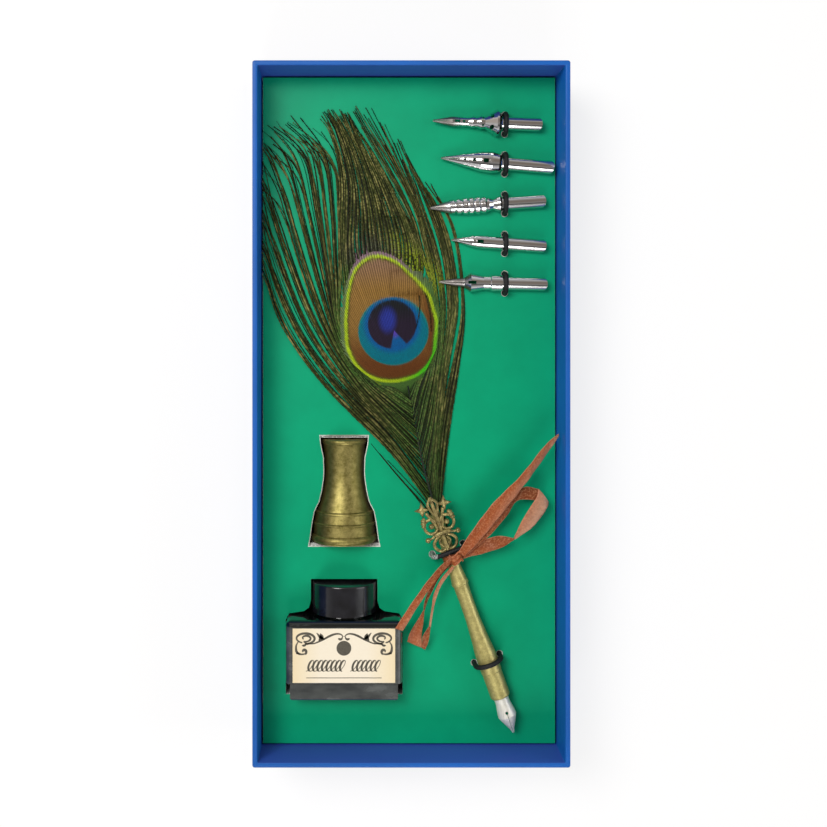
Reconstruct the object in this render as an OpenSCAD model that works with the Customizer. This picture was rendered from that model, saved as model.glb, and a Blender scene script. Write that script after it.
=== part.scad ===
// Calligraphy set box: an open presentation tray with a feather pen, five spare nibs,
// a pen stand and a bottle of black ink, each held in a green insert card.
// Origin: centre of the tray's underside. X across the tray, Y along it, Z up.

/* [Tray] */
// Outside width of the tray
tray_w = 112; // [104:1:140]
// Outside length of the tray
tray_l = 249; // [244:1:300]
// Outside height of the tray
tray_h = 35; // [32:1:60]
// Thickness of a wall, board and paper together
wall_t = 1.8; // [1.4:0.1:3]
// Thickness of the tray's floor board
floor_t = 2; // [1.5:0.1:3]
// Thickness of the blue covering paper
paper_t = 0.2; // [0.15:0.05:0.4]
// Thickness of the lining sheet on the floor
lining_t = 0.3; // [0.2:0.05:0.6]

/* [Insert] */
// Depth of the insert card's face below the tray's rim
insert_depth = 16; // [13:0.5:18]
// Thickness of the insert card
card_t = 1.2; // [0.8:0.1:1.6]
// Gap between the card's edge and the tray's wall
card_gap = 0.7; // [0.4:0.1:1]
// Gap between the foam's side and the tray's wall
foam_gap = 0.4; // [0.2:0.1:0.6]
// Small gap left between pieces that rest on each other
seat_gap = 0.1; // [0.05:0.05:0.2]
// Clearance of a window round the thing that sits in it
window_gap = 0.4; // [0.3:0.1:0.8]

/* [Elastic loops] */
// Diameter of the black elastic cord
cord_d = 1.7; // [1.3:0.1:2]
// Clearance of a loop round the thing it holds
loop_gap = 0.2; // [0.15:0.05:0.4]
// Extra width of a punched hole over the cord
hole_gap = 0.9; // [0.5:0.1:1.4]
// Radius of the knot behind the card
knot_r = 1.6; // [1.2:0.1:2]

/* [Spare nibs] */
// Distance of the nib loops from the tray's outside
nib_edge = 21; // [20:0.5:23]
// Distance of the first nib from the tray's end
nib_first = 19.7; // [18.5:0.1:24]
// Distance from one nib to the next
nib_pitch = 14.57; // [12:0.5:15]
// Radius of a nib's round tail
nib_tail_r = 2.45; // [2.2:0.05:2.7]
// Thickness of the steel sheet of a nib
nib_sheet_t = 0.3; // [0.2:0.05:0.4]
// Angle that a nib's curved sheet spans
nib_arc = 220; // [200:5:240]
// Height of a nib's lowest edge above the card, clear of the barbs under it
nib_lift = 0.45; // [0.4:0.05:0.8]

/* [Pen] */
// Angle of the pen's axis from the X direction
pen_angle = -70.3; // [-74:0.5:-68]
// Place of the grip's front end across the tray
pen_x = 33; // [30:0.5:34]
// Place of the grip's front end along the tray
pen_y = -103.4; // [-105:0.5:-100]
// Largest radius of the pen's barrel
barrel_r = 3.85; // [3.5:0.05:4.1]
// Radius of the barrel's neck, where the ribbon is tied
neck_r = 2.2; // [2:0.05:2.5]
// Length of the barrel behind the grip
barrel_l = 61; // [58:1:63]
// Length of the grip ring that holds the nib
grip_l = 9.2; // [7:0.2:9.2]
// Radius of the grip ring
grip_r = 3.6; // [3.3:0.05:3.7]
// Radius of the grip's bore
grip_bore_r = 2.72; // [2.6:0.02:2.9]
// Running clearance of a turned fit, radial
fit_gap = 0.06; // [0.04:0.01:0.08]
// Length of the pen nib in front of the grip
pen_nib_l = 13.9; // [12:0.1:14.5]
// Length of the pen nib inside the grip
pen_nib_tail = 5; // [4:0.5:6]
// Length of the filigree ornament
ornament_l = 20; // [19:0.1:22]
// Thickness of the filigree ornament
ornament_t = 1.2; // [0.8:0.1:1.6]

/* [Pen stand] */
// Centre line of the stand and the bottle across the tray
side_x = -23.8; // [-26:0.2:-23]
// Place of the stand's foot along the tray
stand_y = -48.4; // [-50:0.2:-48]
// Height of the stand
stand_h = 37.9; // [36:0.1:38.5]
// Radius of the stand's foot
stand_base_r = 12.3; // [11.8:0.1:12.6]
// Radius of the stand's waist
stand_waist_r = 7.2; // [6.6:0.1:7.6]
// Radius of the stand's rim
stand_rim_r = 8.4; // [8:0.1:8.8]
// Radius of the bore that takes the pen
stand_bore_r = 4.1; // [4:0.05:4.5]
// Depth of the bore that takes the pen
stand_bore_l = 28; // [22:1:32]

/* [Ink bottle] */
// Place of the bottle's underside along the tray
bottle_y = -103.6; // [-105:0.2:-102]
// Width of the bottle
bottle_w = 42; // [38:0.5:44]
// Depth of the bottle from front to back
bottle_t = 26; // [22:0.5:28]
// Height of the glass up to its shoulder
shoulder_h = 28.8; // [27:0.2:29]
// Height of the stepped foot
foot_h = 6.5; // [4:0.1:7]
// Thickness of the glass walls
glass_t = 3; // [2:0.2:4]
// Outer radius of the glass neck
glass_neck_r = 9.3; // [8.6:0.1:9.6]
// Inner radius of the glass neck
mouth_r = 6.5; // [6:0.1:7]
// Outer radius of the cap
cap_r = 11.8; // [11.2:0.1:12]
// Height of the cap
cap_h = 11; // [10:0.2:12]
// Room beyond the cap's end, in which it can be loosened
cap_room = 1.2; // [1:0.1:1.6]
// Thickness of the liner disc in the cap
liner_t = 1; // [0.6:0.1:1.4]
// Width of the label
label_w = 36.7; // [30:0.1:37.5]
// Height of the label
label_h = 19.4; // [14:0.1:19.6]

/* [Ribbon] */
// Width of the satin ribbon
ribbon_w = 4; // [3:0.2:5]
// Thickness of the satin ribbon
ribbon_t = 0.3; // [0.2:0.05:0.4]

/* [Feather] */
// Number of barbs modelled on each side of the quill
barbs = 28; // [16:1:36]
// Thickness of the layer of barbs
vane_t = 0.25; // [0.2:0.05:0.3]
// Thickness of the close layer of the eye
eye_t = 0.3; // [0.2:0.05:0.4]
// Radius of the quill where it leaves the barrel
quill_r = 1.4; // [1.1:0.1:1.5]

/* [Hidden] */
$fn = 64;
// Overshoot of a cut past the face it opens
cut = 1;

blue = [0.09, 0.34, 0.64];
board_grey = [0.72, 0.70, 0.66];
foam_grey = [0.62, 0.62, 0.64];
card_green = [0.01, 0.60, 0.42];
cord_black = [0.08, 0.08, 0.09];
chrome = [0.80, 0.80, 0.82];
old_brass = [0.55, 0.48, 0.22];
old_gold = [0.66, 0.58, 0.32];
nib_white = [0.88, 0.88, 0.90];
glass_grey = [0.35, 0.37, 0.40, 0.5];
ink_black = [0.03, 0.03, 0.05];
label_cream = [0.93, 0.88, 0.78];
copper = [0.71, 0.35, 0.24];
quill_brown = [0.30, 0.22, 0.10];
barb_green = [0.20, 0.26, 0.08];
eye_blue = [0.05, 0.35, 0.60];

// Tray and insert levels
inner_w = tray_w - 2 * wall_t;
inner_l = tray_l - 2 * wall_t;
floor_top = floor_t + lining_t;
card_top = tray_h - insert_depth;
card_bottom = card_top - card_t;
foam_top = card_bottom - seat_gap;
card_w = inner_w - 2 * card_gap;
card_l = inner_l - 2 * card_gap;

// Elastic loops: the strand behind the card, its corners and the knot
strand_z = -card_t - seat_gap - cord_d / 2;
loop_corner_r = 1.2;
knot_z = -card_t - seat_gap - knot_r;
knot_room = 0.6;
recess_h = 2 * knot_r + knot_room;
nib_span = 2 * nib_tail_r + 2 * loop_gap + cord_d;
nib_loop_x = tray_w / 2 - nib_edge;
nib_first_y = tray_l / 2 - nib_first;

// How far each spare nib is turned out of line in its loop
nib_tilts = [-2.2, -5, 3.5, -4, -1.3];

// Outlines of the spare nibs: distance from the loop towards the tip, and radius
tip_r = nib_sheet_t + 0.06;
pierced_tail = 13.2;
pierced_shape = [[-pierced_tail, nib_tail_r], [1.3, nib_tail_r], [1.9, 3], [2.6, 4.7],
    [3.3, 4.85], [7.5, 2.2], [9, 2.5], [10.5, 1.8], [12, 2.05], [13.5, 1.65],
    [19.4, 1.75], [26.4, tip_r]];
leaf_tail = 17.6;
leaf_shape = [[-leaf_tail, nib_tail_r], [1.4, nib_tail_r], [2.5, 3.5], [5, 4], [9, 3.7],
    [15.5, 2.3], [23.5, tip_r]];
ribbed_tail = 14.6;
rib_count = 6;
rib_pitch = 2.25;
rib_first = 6.9;
rib_step = 0.45;
function rib_r(i) = 3 + 0.45 * sin(180 * (i + 0.6) / rib_count) - 0.09 * i;
ribbed_shape = concat(
    [[-ribbed_tail, nib_tail_r], [1.3, nib_tail_r], [2, 2.9], [3, 2.7], [4.5, 2], [6, 2.6]],
    [for (i = [0 : rib_count - 1], part = [0, 1, 2])
        let (x = rib_first + i * rib_pitch)
            part == 0 ? [x, rib_r(i) - rib_step] :
            part == 1 ? [x + 0.5, rib_r(i)] : [x + rib_pitch - 0.5, rib_r(i) - 0.1]],
    [[rib_first + rib_count * rib_pitch, 2.3], [27.5, tip_r]]);
fine_tail = 14.8;
fine_shape = [[-fine_tail, nib_tail_r], [5, nib_tail_r], [9, 2.5], [12, 2.2], [16.8, 0.8],
    [19.6, tip_r]];
shouldered_tail = 15.1;
shouldered_shape = [[-shouldered_tail, nib_tail_r], [1.2, nib_tail_r], [1.3, 3], [5.2, 3],
    [5.5, 2.6], [8, 2.6], [12.7, 3.6], [14.9, 1.65], [19, 1.3], [24.1, tip_r]];

// Pen: distances run from the grip's front end, backwards along the axis
pen_axis_h = barrel_r + seat_gap;
tenon_r = 2.9;
tenon_l = 4;
lower_loop_s = 13.4;
upper_loop_s = 56;
upper_loop_span = 12;
upper_corner_r = 3;
knot_s = 52.2;
foot_s = upper_loop_s + cord_d / 2 + 0.3;
ring_s = 43.9;
ring_r = 3.1;
socket_r = quill_r + 0.2;
socket_l = 8;
lower_loop_span = 2 * barrel_r + 2 * loop_gap + cord_d;
upper_loop_rise = pen_axis_h + neck_r + loop_gap + cord_d / 2;
ornament_z = neck_r + 0.1;

// Stand and bottle heights: both lie on the floor lining
stand_z = floor_top + seat_gap + stand_base_r;
bottle_z = floor_top + seat_gap + bottle_t / 2;
cap_crown = 2;
cap_skirt_gap = 0.8;
neck_top = shoulder_h + cap_skirt_gap + cap_h - cap_crown - liner_t - 2 * seat_gap;
cap_low = shoulder_h + cap_skirt_gap;
cap_top_h = cap_low + cap_h;
mouth_floor_h = shoulder_h - glass_t;

// Feather: its layers above the card, and the curves that its parts follow
vane_z = seat_gap;
eye_z = vane_z + vane_t + seat_gap;
quill_root = [8, -31];
quill_bend = [0, 2];
quill_end = [-6, 36];
left_tips = [[-52.6, 62.5], [-57, 105], [-24, 113]];
left_bends = [[-42, 10], [-50, 54], [-23, 80]];
right_tips = [[20.5, 30], [22, 88], [-14, 113]];
right_bends = [[17, -8], [22, 35], [-8, 80]];
barb_steps = 5;
eye_points = [[-10, 57.3], [10.2, 32], [-6.7, 9.7], [-23.9, 32]];
eye_bends = [[2, 47], [10.2, 11], [-22, 12], [-24, 57]];
eye_steps = 8;

// The quill's path above the card, and its radius at each point
quill_path = [[8.8, -35.6, 3.95], [8, -31, 3.8], [5, -20, 3], [2.6, -8, 2.4], [0.6, 3, 2.1],
    [-2, 14, 1.9], [-4.2, 24, 1.8], [-5.6, 32, 1.6], [-6.1, 36, 1.5]];
quill_tip_r = 0.45;
quill_sides = 8;

// The ribbon's strands: place, height above the card and roll, from flat to standing on edge
tail_up = [[16.6, -52, 10, 0], [22, -44.2, 10.1, 8], [32.2, -30.4, 9.2, 10], [42.5, -20, 7.4, 15],
    [52, -11.2, 5.6, 25]];
loop_right = [[17.6, -52.2, 8.8, 0], [25, -44, 8.6, 10], [33, -35.5, 7, 28], [38, -31.1, 6, 42],
    [41.8, -28, 5.2, 60], [46, -27.4, 4.8, 75], [49.2, -30.2, 4.6, 75], [49, -34.6, 4.6, 60],
    [46, -39.6, 4.8, 40], [41.6, -43.6, 5.2, 30], [37.1, -45.8, 5.8, 25], [31.6, -47.4, 6.4, 15],
    [25.4, -49.7, 7, 3], [18.2, -53.2, 7.1, 0]];
tail_down = [[13.6, -55.6, 9.4, 0], [11.5, -57.5, 9.8, 5], [5.5, -65.3, 10.2, 8],
    [0, -72.4, 10.3, 5], [-3.7, -77.4, 10.3, 0]];
loop_down = [[13.2, -56, 6.8, 0], [9.2, -60, 5.6, 30], [5.9, -69.2, 4.9, 55], [2.6, -78.6, 4, 70],
    [1, -82.6, 3.2, 85], [1.6, -85.4, 2.8, 90], [4.2, -84.6, 2.8, 90], [6, -80, 3.2, 80],
    [8.9, -70, 4.6, 65], [12, -61.8, 7.2, 35], [14.2, -57.4, 8.1, 0]];

// Curves and small helpers
function mix(a, b, t) = a + (b - a) * t;
function curve(p, t) = mix(mix(p[0], p[1], t), mix(p[1], p[2], t), t);
function unit(v) = v / norm(v);
function flat_side(v) = unit([v[1], -v[0], 0]);
function arc(cx, cy, r, a0, a1, n) =
    [for (i = [0 : n]) [cx + r * cos(mix(a0, a1, i / n)), cy + r * sin(mix(a0, a1, i / n))]];
function round_rect(w, h, r, n = 6) = concat(
    arc(w / 2 - r, h / 2 - r, r, 0, 90, n), arc(r - w / 2, h / 2 - r, r, 90, 180, n),
    arc(r - w / 2, r - h / 2, r, 180, 270, n), arc(w / 2 - r, r - h / 2, r, 270, 360, n));
function mirrored(p) =
    concat(p, [for (i = [len(p) - 1 : -1 : 0]) if (p[i][0] > 0) [-p[i][0], p[i][1]]]);
function tangent(p, i) = unit(p[min(i + 1, len(p) - 1)] - p[max(i - 1, 0)]);

module block(w, l, h) {
    translate([-w / 2, -l / 2, 0]) cube([w, l, h]);
}

// A turned solid on the X axis, from points that hold a radius and a place
module turned(points) {
    rotate([0, 90, 0]) rotate_extrude() polygon(points);
}

// A tube or strip swept along points: corners gives each ring's offsets, sideways and up.
// The far half is split along the other diagonal, so a twisted strip keeps its thickness.
module sweep(path, corners) {
    n = len(corners(0));
    rings = [for (i = [0 : len(path) - 1])
        let (t = tangent(path, i), side = flat_side(t), up = cross(side, t))
            for (c = corners(i)) path[i] + c[0] * side + c[1] * up];
    sides = [for (i = [0 : len(path) - 2], k = [0 : n - 1])
        let (a = i * n + k, b = i * n + (k + 1) % n)
            each k < n / 2 ? [[a, b, a + n], [b, b + n, a + n]] : [[a, b, b + n], [a, b + n, a + n]]];
    last = (len(path) - 1) * n;
    caps = [for (k = [1 : n - 2]) each [[0, k + 1, k], [last, last + k, last + k + 1]]];
    polyhedron(points = rings, faces = concat(sides, caps));
}

// Tray

module tray_board() {
    color(board_grey) difference() {
        block(tray_w - 2 * paper_t, tray_l - 2 * paper_t, tray_h - paper_t);
        translate([0, 0, floor_t])
            block(inner_w + 2 * paper_t, inner_l + 2 * paper_t, tray_h);
    }
}

module tray_wrap() {
    color(blue) {
        difference() {
            block(tray_w, tray_l, tray_h);
            translate([0, 0, -cut])
                block(tray_w - 2 * paper_t, tray_l - 2 * paper_t, tray_h - paper_t + cut);
            translate([0, 0, -cut]) block(inner_w, inner_l, tray_h + 2 * cut);
        }
        translate([0, 0, floor_top]) difference() {
            block(inner_w + 2 * paper_t, inner_l + 2 * paper_t, tray_h - floor_top);
            translate([0, 0, -cut]) block(inner_w, inner_l, tray_h);
        }
    }
}

module floor_lining() {
    color(board_grey) translate([0, 0, floor_t]) block(inner_w, inner_l, lining_t);
}

// Stand: half outline, with a radius for each height above the foot

bead_h = 3;
band_1 = 7;
band_2 = 11.1;
groove = 0.5;
waist_h = 26;
rim_h = 2;
function stand_r(h) =
    h < waist_h ? mix(stand_waist_r, stand_base_r - 2.2, pow((waist_h - h) / (waist_h - band_2), 1.7))
        : mix(stand_waist_r, stand_rim_r - 0.6, pow((h - waist_h) / (stand_h - rim_h - waist_h), 2));
stand_outline = concat(
    [[stand_base_r - 0.7, 0]],
    arc(stand_base_r - bead_h / 2, bead_h / 2, bead_h / 2, -60, 70, 8),
    [[stand_base_r - 1, bead_h + 0.3], [stand_base_r - 1.1, band_1 - 0.7],
     [stand_base_r - 0.8, band_1 - 0.3], [stand_base_r - 0.8, band_1 + 0.2],
     [stand_base_r - 1.3, band_1 + 0.5], [stand_base_r - 1.7, band_2 - 0.7],
     [stand_base_r - 1.5, band_2 - 0.3], [stand_base_r - 1.6, band_2 + 0.2]],
    [for (h = [band_2 + groove : (stand_h - rim_h - band_2 - groove) / 14 : stand_h - rim_h + 0.01])
        [stand_r(h), h]],
    [[stand_rim_r - 0.3, stand_h - rim_h + 0.3]],
    arc(stand_rim_r - 0.7, stand_h - 0.9, 0.7, -40, 90, 6));

module pen_stand() {
    color(old_brass) translate([side_x, stand_y, stand_z]) rotate([-90, 0, 0])
        difference() {
            rotate_extrude() polygon(concat([[0, 0]], stand_outline, [[0, stand_h - 0.2]]));
            translate([0, 0, stand_h - stand_bore_l]) cylinder(r = stand_bore_r, h = stand_bore_l + cut);
        }
}

// The stand's hourglass outline for its window, as half widths at a few heights
window_top = 1.5;
window_low = 1.6;
function hourglass(gap) = mirrored([
    [stand_base_r + 1 + gap - window_gap, stand_y - window_low],
    [stand_base_r + gap, stand_y + bead_h / 2],
    [stand_base_r - 0.8 + gap, stand_y + band_1 + 0.4],
    [stand_base_r - 1.6 + gap, stand_y + band_2 + 0.4],
    [stand_r(15) + gap, stand_y + 15], [stand_r(19) + gap, stand_y + 19],
    [stand_r(23) + gap, stand_y + 23], [stand_waist_r + gap, stand_y + waist_h],
    [stand_r(31) + gap, stand_y + 31], [stand_rim_r + gap, stand_y + stand_h - rim_h],
    [stand_rim_r + gap + 0.3, stand_y + stand_h + window_top]]);

// The bottle's outline from the front, for its window and its pocket
neck_room = 0.8;
// How far the foam stands back from the edge of a window
foam_inset = 0.15;
function bottle_window(gap) = mirrored([
    [bottle_w / 2 + gap, bottle_y - gap],
    [bottle_w / 2 + gap, bottle_y + shoulder_h - 2],
    [bottle_w / 2 - 1.2 + gap, bottle_y + shoulder_h + gap],
    [cap_r + 2.6 + gap, bottle_y + shoulder_h + neck_room + gap],
    [cap_r + 0.8 + gap, bottle_y + shoulder_h + 2.4],
    [cap_r + gap, bottle_y + shoulder_h + 5],
    [cap_r + gap, bottle_y + cap_top_h + cap_room]]);

module window_cut(outline, low, high) {
    translate([side_x, 0, low]) linear_extrude(high - low) polygon(outline);
}

// Recesses in the foam's face for the cord and the knot behind each loop
module loop_recesses() {
    for (i = [0 : 4])
        translate([nib_loop_x, nib_row(i), 0]) recess(nib_span);
    pen_spot(lower_loop_s) recess(lower_loop_span);
    pen_spot(upper_loop_s) recess(upper_loop_span);
}

function nib_row(i) = nib_first_y - i * nib_pitch;

module pen_spot(s) {
    translate([pen_x, pen_y, 0]) rotate(pen_angle) translate([-s, 0, 0]) children();
}

module recess(span) {
    translate([0, 0, foam_top - recess_h])
        block(2 * knot_r + knot_room, span + cord_d + knot_room, recess_h + cut);
}

module punched(span) {
    for (side = [-1, 1])
        translate([0, side * span / 2, card_bottom - cut])
            cylinder(d = cord_d + hole_gap, h = card_t + 2 * cut, $fn = 24);
}

module foam_block() {
    color(foam_grey) difference() {
        translate([0, 0, floor_top])
            block(inner_w - 2 * foam_gap, inner_l - 2 * foam_gap, foam_top - floor_top);
        window_cut([for (p = hourglass(window_gap + foam_inset))
            [p[0], min(max(p[1], stand_y - window_gap), stand_y + stand_h + window_gap)]],
            floor_top - cut, foam_top + cut);
        window_cut(bottle_window(window_gap + foam_inset), floor_top - cut, foam_top + cut);
        loop_recesses();
    }
}

module insert_card() {
    color(card_green) difference() {
        translate([0, 0, card_bottom]) block(card_w, card_l, card_t);
        window_cut(hourglass(window_gap), card_bottom - cut, card_top + cut);
        window_cut(bottle_window(window_gap), card_bottom - cut, card_top + cut);
        for (i = [0 : 4])
            translate([nib_loop_x, nib_row(i), 0]) punched(nib_span);
        pen_spot(lower_loop_s) punched(lower_loop_span);
        pen_spot(upper_loop_s) punched(upper_loop_span);
    }
}

// Elastic loops: a closed ring of cord through two holes of the card, knotted behind it

// The ring's path: places across and above the card, with the cord's radius at each
function loop_path(span, rise, top_r) =
    let (half = span / 2, r = cord_d / 2, low = strand_z + loop_corner_r, in = half - loop_corner_r)
        concat(
            [for (a = [0 : 30 : 90]) [half - top_r + top_r * cos(a), rise - top_r + top_r * sin(a), r]],
            [for (a = [span > 2 * top_r ? 90 : 120 : 30 : 180])
                [top_r - half + top_r * cos(a), rise - top_r + top_r * sin(a), r]],
            [[-half, (rise - top_r + low) / 2, r]],
            [for (a = [180 : 30 : 270]) [loop_corner_r * cos(a) - in, low + loop_corner_r * sin(a), r]],
            [for (k = [-2 : 2]) let (swell = 1 - abs(k) / 2)
                [k * knot_r * 0.62, mix(strand_z, knot_z, swell), mix(r, knot_r, pow(swell, 0.6))]],
            [for (a = [270 : 30 : 360]) [loop_corner_r * cos(a) + in, low + loop_corner_r * sin(a), r]],
            [[half, (rise - top_r + low) / 2, r]]);

module elastic_loop(span, rise, top_r) {
    sides = 8;
    path = loop_path(span, rise, top_r);
    n = len(path);
    rings = [for (i = [0 : n - 1])
        let (p = path[i], d = path[(i + 1) % n] - path[(i + n - 1) % n], t = unit([d[0], d[1]]))
            for (k = [0 : sides - 1])
                let (a = k * 360 / sides, off = p[2] * cos(a))
                    [p[2] * sin(a), p[0] + off * t[1], p[1] - off * t[0]]];
    walls = [for (i = [0 : n - 1], k = [0 : sides - 1])
        let (a = i * sides, b = (i + 1) % n * sides, next = (k + 1) % sides)
            each [[a + k, b + k, a + next], [a + next, b + k, b + next]]];
    translate([0, 0, card_top]) polyhedron(points = rings, faces = walls);
}

// What is cut off a nib's tail, so that its end is round
tail_bow = 1;
module tail_end(shape) {
    bow_r = (nib_tail_r * nib_tail_r + tail_bow * tail_bow) / (2 * tail_bow);
    translate([-shape[0][0] - tail_bow, 0, -2 * nib_tail_r]) difference() {
        translate([0, -2 * nib_tail_r, 0]) cube([2 * tail_bow, 4 * nib_tail_r, 4 * nib_tail_r]);
        translate([tail_bow - bow_r, 0, -cut]) cylinder(r = bow_r, h = 4 * nib_tail_r + 2 * cut);
    }
}

function nib_axis_h(shape) =
    nib_lift + max([for (p = shape) p[1]]) * sin((nib_arc - 180) / 2);

module nib_loop(i, shape) {
    color(cord_black) translate([nib_loop_x, nib_row(i), 0])
        elastic_loop(nib_span, nib_axis_h(shape) + nib_span / 2, nib_span / 2);
}

module nib_loop_1() nib_loop(0, pierced_shape);
module nib_loop_2() nib_loop(1, leaf_shape);
module nib_loop_3() nib_loop(2, ribbed_shape);
module nib_loop_4() nib_loop(3, fine_shape);
module nib_loop_5() nib_loop(4, shouldered_shape);

module pen_loop_lower() {
    color(cord_black) pen_spot(lower_loop_s)
        elastic_loop(lower_loop_span, pen_axis_h + lower_loop_span / 2, lower_loop_span / 2);
}

module pen_loop_upper() {
    color(cord_black) pen_spot(upper_loop_s)
        elastic_loop(upper_loop_span, upper_loop_rise, upper_corner_r);
}

// Spare nibs: a curved steel sheet, turned about its axis, with its tip towards -X

module curved_sheet(shape, arc_angle) {
    rotate([0, 90, 0]) rotate(180 - arc_angle / 2) rotate_extrude(angle = arc_angle)
        polygon(concat([for (p = shape) [p[1], -p[0]]],
            [for (i = [len(shape) - 1 : -1 : 0]) [shape[i][1] - nib_sheet_t, -shape[i][0]]]));
}

slit_w = 0.16;
module slit(from, to) {
    translate([-to - cut, -slit_w / 2, 0]) cube([to - from + cut, slit_w, 2 * barrel_r]);
}

module window_hole(x, w, l) {
    translate([-x - l / 2, -w / 2, 0]) cube([l, w, 2 * barrel_r]);
}

module round_hole(x, y, r) {
    translate([-x, y, 0]) cylinder(r = r, h = 2 * barrel_r, $fn = 24);
}

module spare_nib(i, shape) {
    color(chrome) translate([nib_loop_x, nib_row(i), card_top + nib_axis_h(shape)])
        rotate(nib_tilts[i]) difference() {
            curved_sheet(shape, nib_arc);
            tail_end(shape);
            children();
        }
}

module nib_pierced() {
    spare_nib(0, pierced_shape) {
        slit(18.6, 26.4);
        window_hole(17.6, 0.9, 2);
        window_hole(15.2, 0.8, 0.9);
        for (side = [-1, 1]) {
            round_hole(5.2, side * 2, 0.75);
            round_hole(8.3, side * 1.3, 0.4);
        }
    }
}

module nib_leaf() {
    spare_nib(1, leaf_shape) {
        slit(15.2, 23.5);
        window_hole(14.9, 0.7, 0.8);
        window_hole(11.6, 1, 1.2);
        window_hole(7.4, 1.5, 1.8);
    }
}

module nib_ribbed() {
    spare_nib(2, ribbed_shape) slit(21.5, 27.5);
}

module nib_fine() {
    spare_nib(3, fine_shape) {
        slit(10.5, 19.6);
        window_hole(9.2, 1.2, 2.2);
    }
}

module nib_shouldered() {
    spare_nib(4, shouldered_shape) {
        slit(13.4, 24.1);
        window_hole(12.3, 1.1, 2.9);
    }
}

// Ink bottle, lying on its back: its height runs along +Y

module bottle_place() {
    translate([side_x, bottle_y, bottle_z]) children();
}

foot_step = 1.6;
edge_r = 2.2;
function side_outline(w) = mirrored(concat(
    [[w / 2 - foot_step - 0.5, 0], [w / 2 - foot_step, 0.5], [w / 2 - foot_step, foot_h - 0.6],
     [w / 2, foot_h]],
    arc(w / 2 - edge_r, shoulder_h - edge_r, edge_r, 0, 90, 6)));

module glass_block() {
    intersection() {
        rotate([-90, 0, 0]) linear_extrude(shoulder_h) polygon(round_rect(bottle_w, bottle_t, 3));
        translate([0, 0, -bottle_t]) linear_extrude(2 * bottle_t) polygon(side_outline(bottle_w));
        rotate([0, 90, 0]) translate([0, 0, -bottle_w])
            linear_extrude(2 * bottle_w) polygon(side_outline(bottle_t));
    }
}

module inside(gap) {
    translate([0, glass_t + gap, 0]) rotate([-90, 0, 0])
        linear_extrude(shoulder_h - 2 * glass_t - 2 * gap)
            polygon(round_rect(bottle_w - 2 * glass_t - 2 * gap, bottle_t - 2 * glass_t - 2 * gap, 2));
}

module bottle_glass() {
    color(glass_grey) bottle_place() difference() {
        union() {
            glass_block();
            translate([0, shoulder_h - glass_t / 2, 0]) rotate([-90, 0, 0])
                cylinder(r = glass_neck_r, h = neck_top - shoulder_h + glass_t / 2);
        }
        inside(0);
        translate([0, mouth_floor_h - cut, 0]) rotate([-90, 0, 0])
            cylinder(r = mouth_r, h = neck_top - mouth_floor_h + 2 * cut);
    }
}

module ink() {
    color(ink_black) bottle_place() inside(seat_gap / 2);
}

module bottle_label() {
    label_low = foot_h + 0.4;
    color(label_cream) bottle_place()
        translate([-label_w / 2, label_low, bottle_t / 2]) cube([label_w, label_h, paper_t]);
}

module cap_liner() {
    color(board_grey) bottle_place() translate([0, neck_top + seat_gap, 0]) rotate([-90, 0, 0])
        cylinder(r = glass_neck_r - 0.1, h = liner_t);
}

module bottle_cap() {
    chamfer = 0.6;
    color(ink_black) bottle_place() translate([0, cap_low, 0]) rotate([-90, 0, 0])
        rotate_extrude() polygon(concat(
            [[glass_neck_r + fit_gap, 0], [cap_r, 0], [cap_r, cap_h - chamfer]],
            arc(cap_r - chamfer, cap_h - chamfer, chamfer, 15, 90, 4),
            [[0, cap_h], [0, cap_h - cap_crown], [glass_neck_r + fit_gap, cap_h - cap_crown]]));
}

// Pen: its axis runs along +X of its own frame, from the feather to the nib

module pen_place() {
    translate([pen_x, pen_y, card_top + pen_axis_h]) rotate(pen_angle) children();
}

module pen_barrel() {
    back = grip_l + barrel_l;
    color(old_gold) pen_place() difference() {
        turned([[0, -grip_l], [3.55, -grip_l], [3.55, -grip_l - 0.3], [3.75, -grip_l - 0.6],
            [barrel_r, -14], [3.7, -17], [3.2, -22], [2.65, -30], [2.6, -37], [2.75, 0.9 - ring_s],
            [ring_r, 0.6 - ring_s], [ring_r, -ring_s], [2.9, -ring_s - 1], [neck_r + 0.2, -50],
            [neck_r, -54], [neck_r, -back], [0, -back]]);
        translate([-grip_l - tenon_l - seat_gap, 0, 0]) rotate([0, 90, 0])
            cylinder(r = tenon_r + fit_gap, h = tenon_l + seat_gap + cut);
        translate([-back - cut, 0, 0]) rotate([0, 90, 0]) cylinder(r = socket_r, h = socket_l + cut);
    }
}

module nib_grip() {
    color(old_gold) pen_place() difference() {
        union() {
            turned([[0, 0.02 - grip_l], [grip_r, 0.02 - grip_l], [grip_r, -0.5], [grip_r - 0.3, 0], [0, 0]]);
            translate([-grip_l - tenon_l, 0, 0]) rotate([0, 90, 0]) cylinder(r = tenon_r, h = tenon_l + cut);
        }
        translate([-pen_nib_tail - 1, 0, 0]) rotate([0, 90, 0])
            cylinder(r = grip_bore_r, h = pen_nib_tail + 1 + cut);
    }
}

module pen_nib() {
    r = grip_bore_r - fit_gap;
    shoulder_r = 3.4;
    shoulder_s = 7.2;
    vent_s = 5.4;
    nib_shape = [[-pen_nib_l, tip_r], [-pen_nib_l + 1.4, 0.8], [-shoulder_s - 3, 2],
        [-shoulder_s - 1, 3], [-shoulder_s, shoulder_r], [1.3 - shoulder_s, shoulder_r - 0.1],
        [-2.4, r], [pen_nib_tail, r]];
    color(nib_white) pen_place() difference() {
        curved_sheet(nib_shape, nib_arc);
        translate([vent_s, 0, 0]) cylinder(r = 0.55, h = barrel_r, $fn = 24);
        translate([vent_s, -slit_w / 2, 0]) cube([pen_nib_l, slit_w, barrel_r]);
    }
}

// Filigree ornament: a pierced casting on the neck, here seen from its heart-shaped foot up

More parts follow.
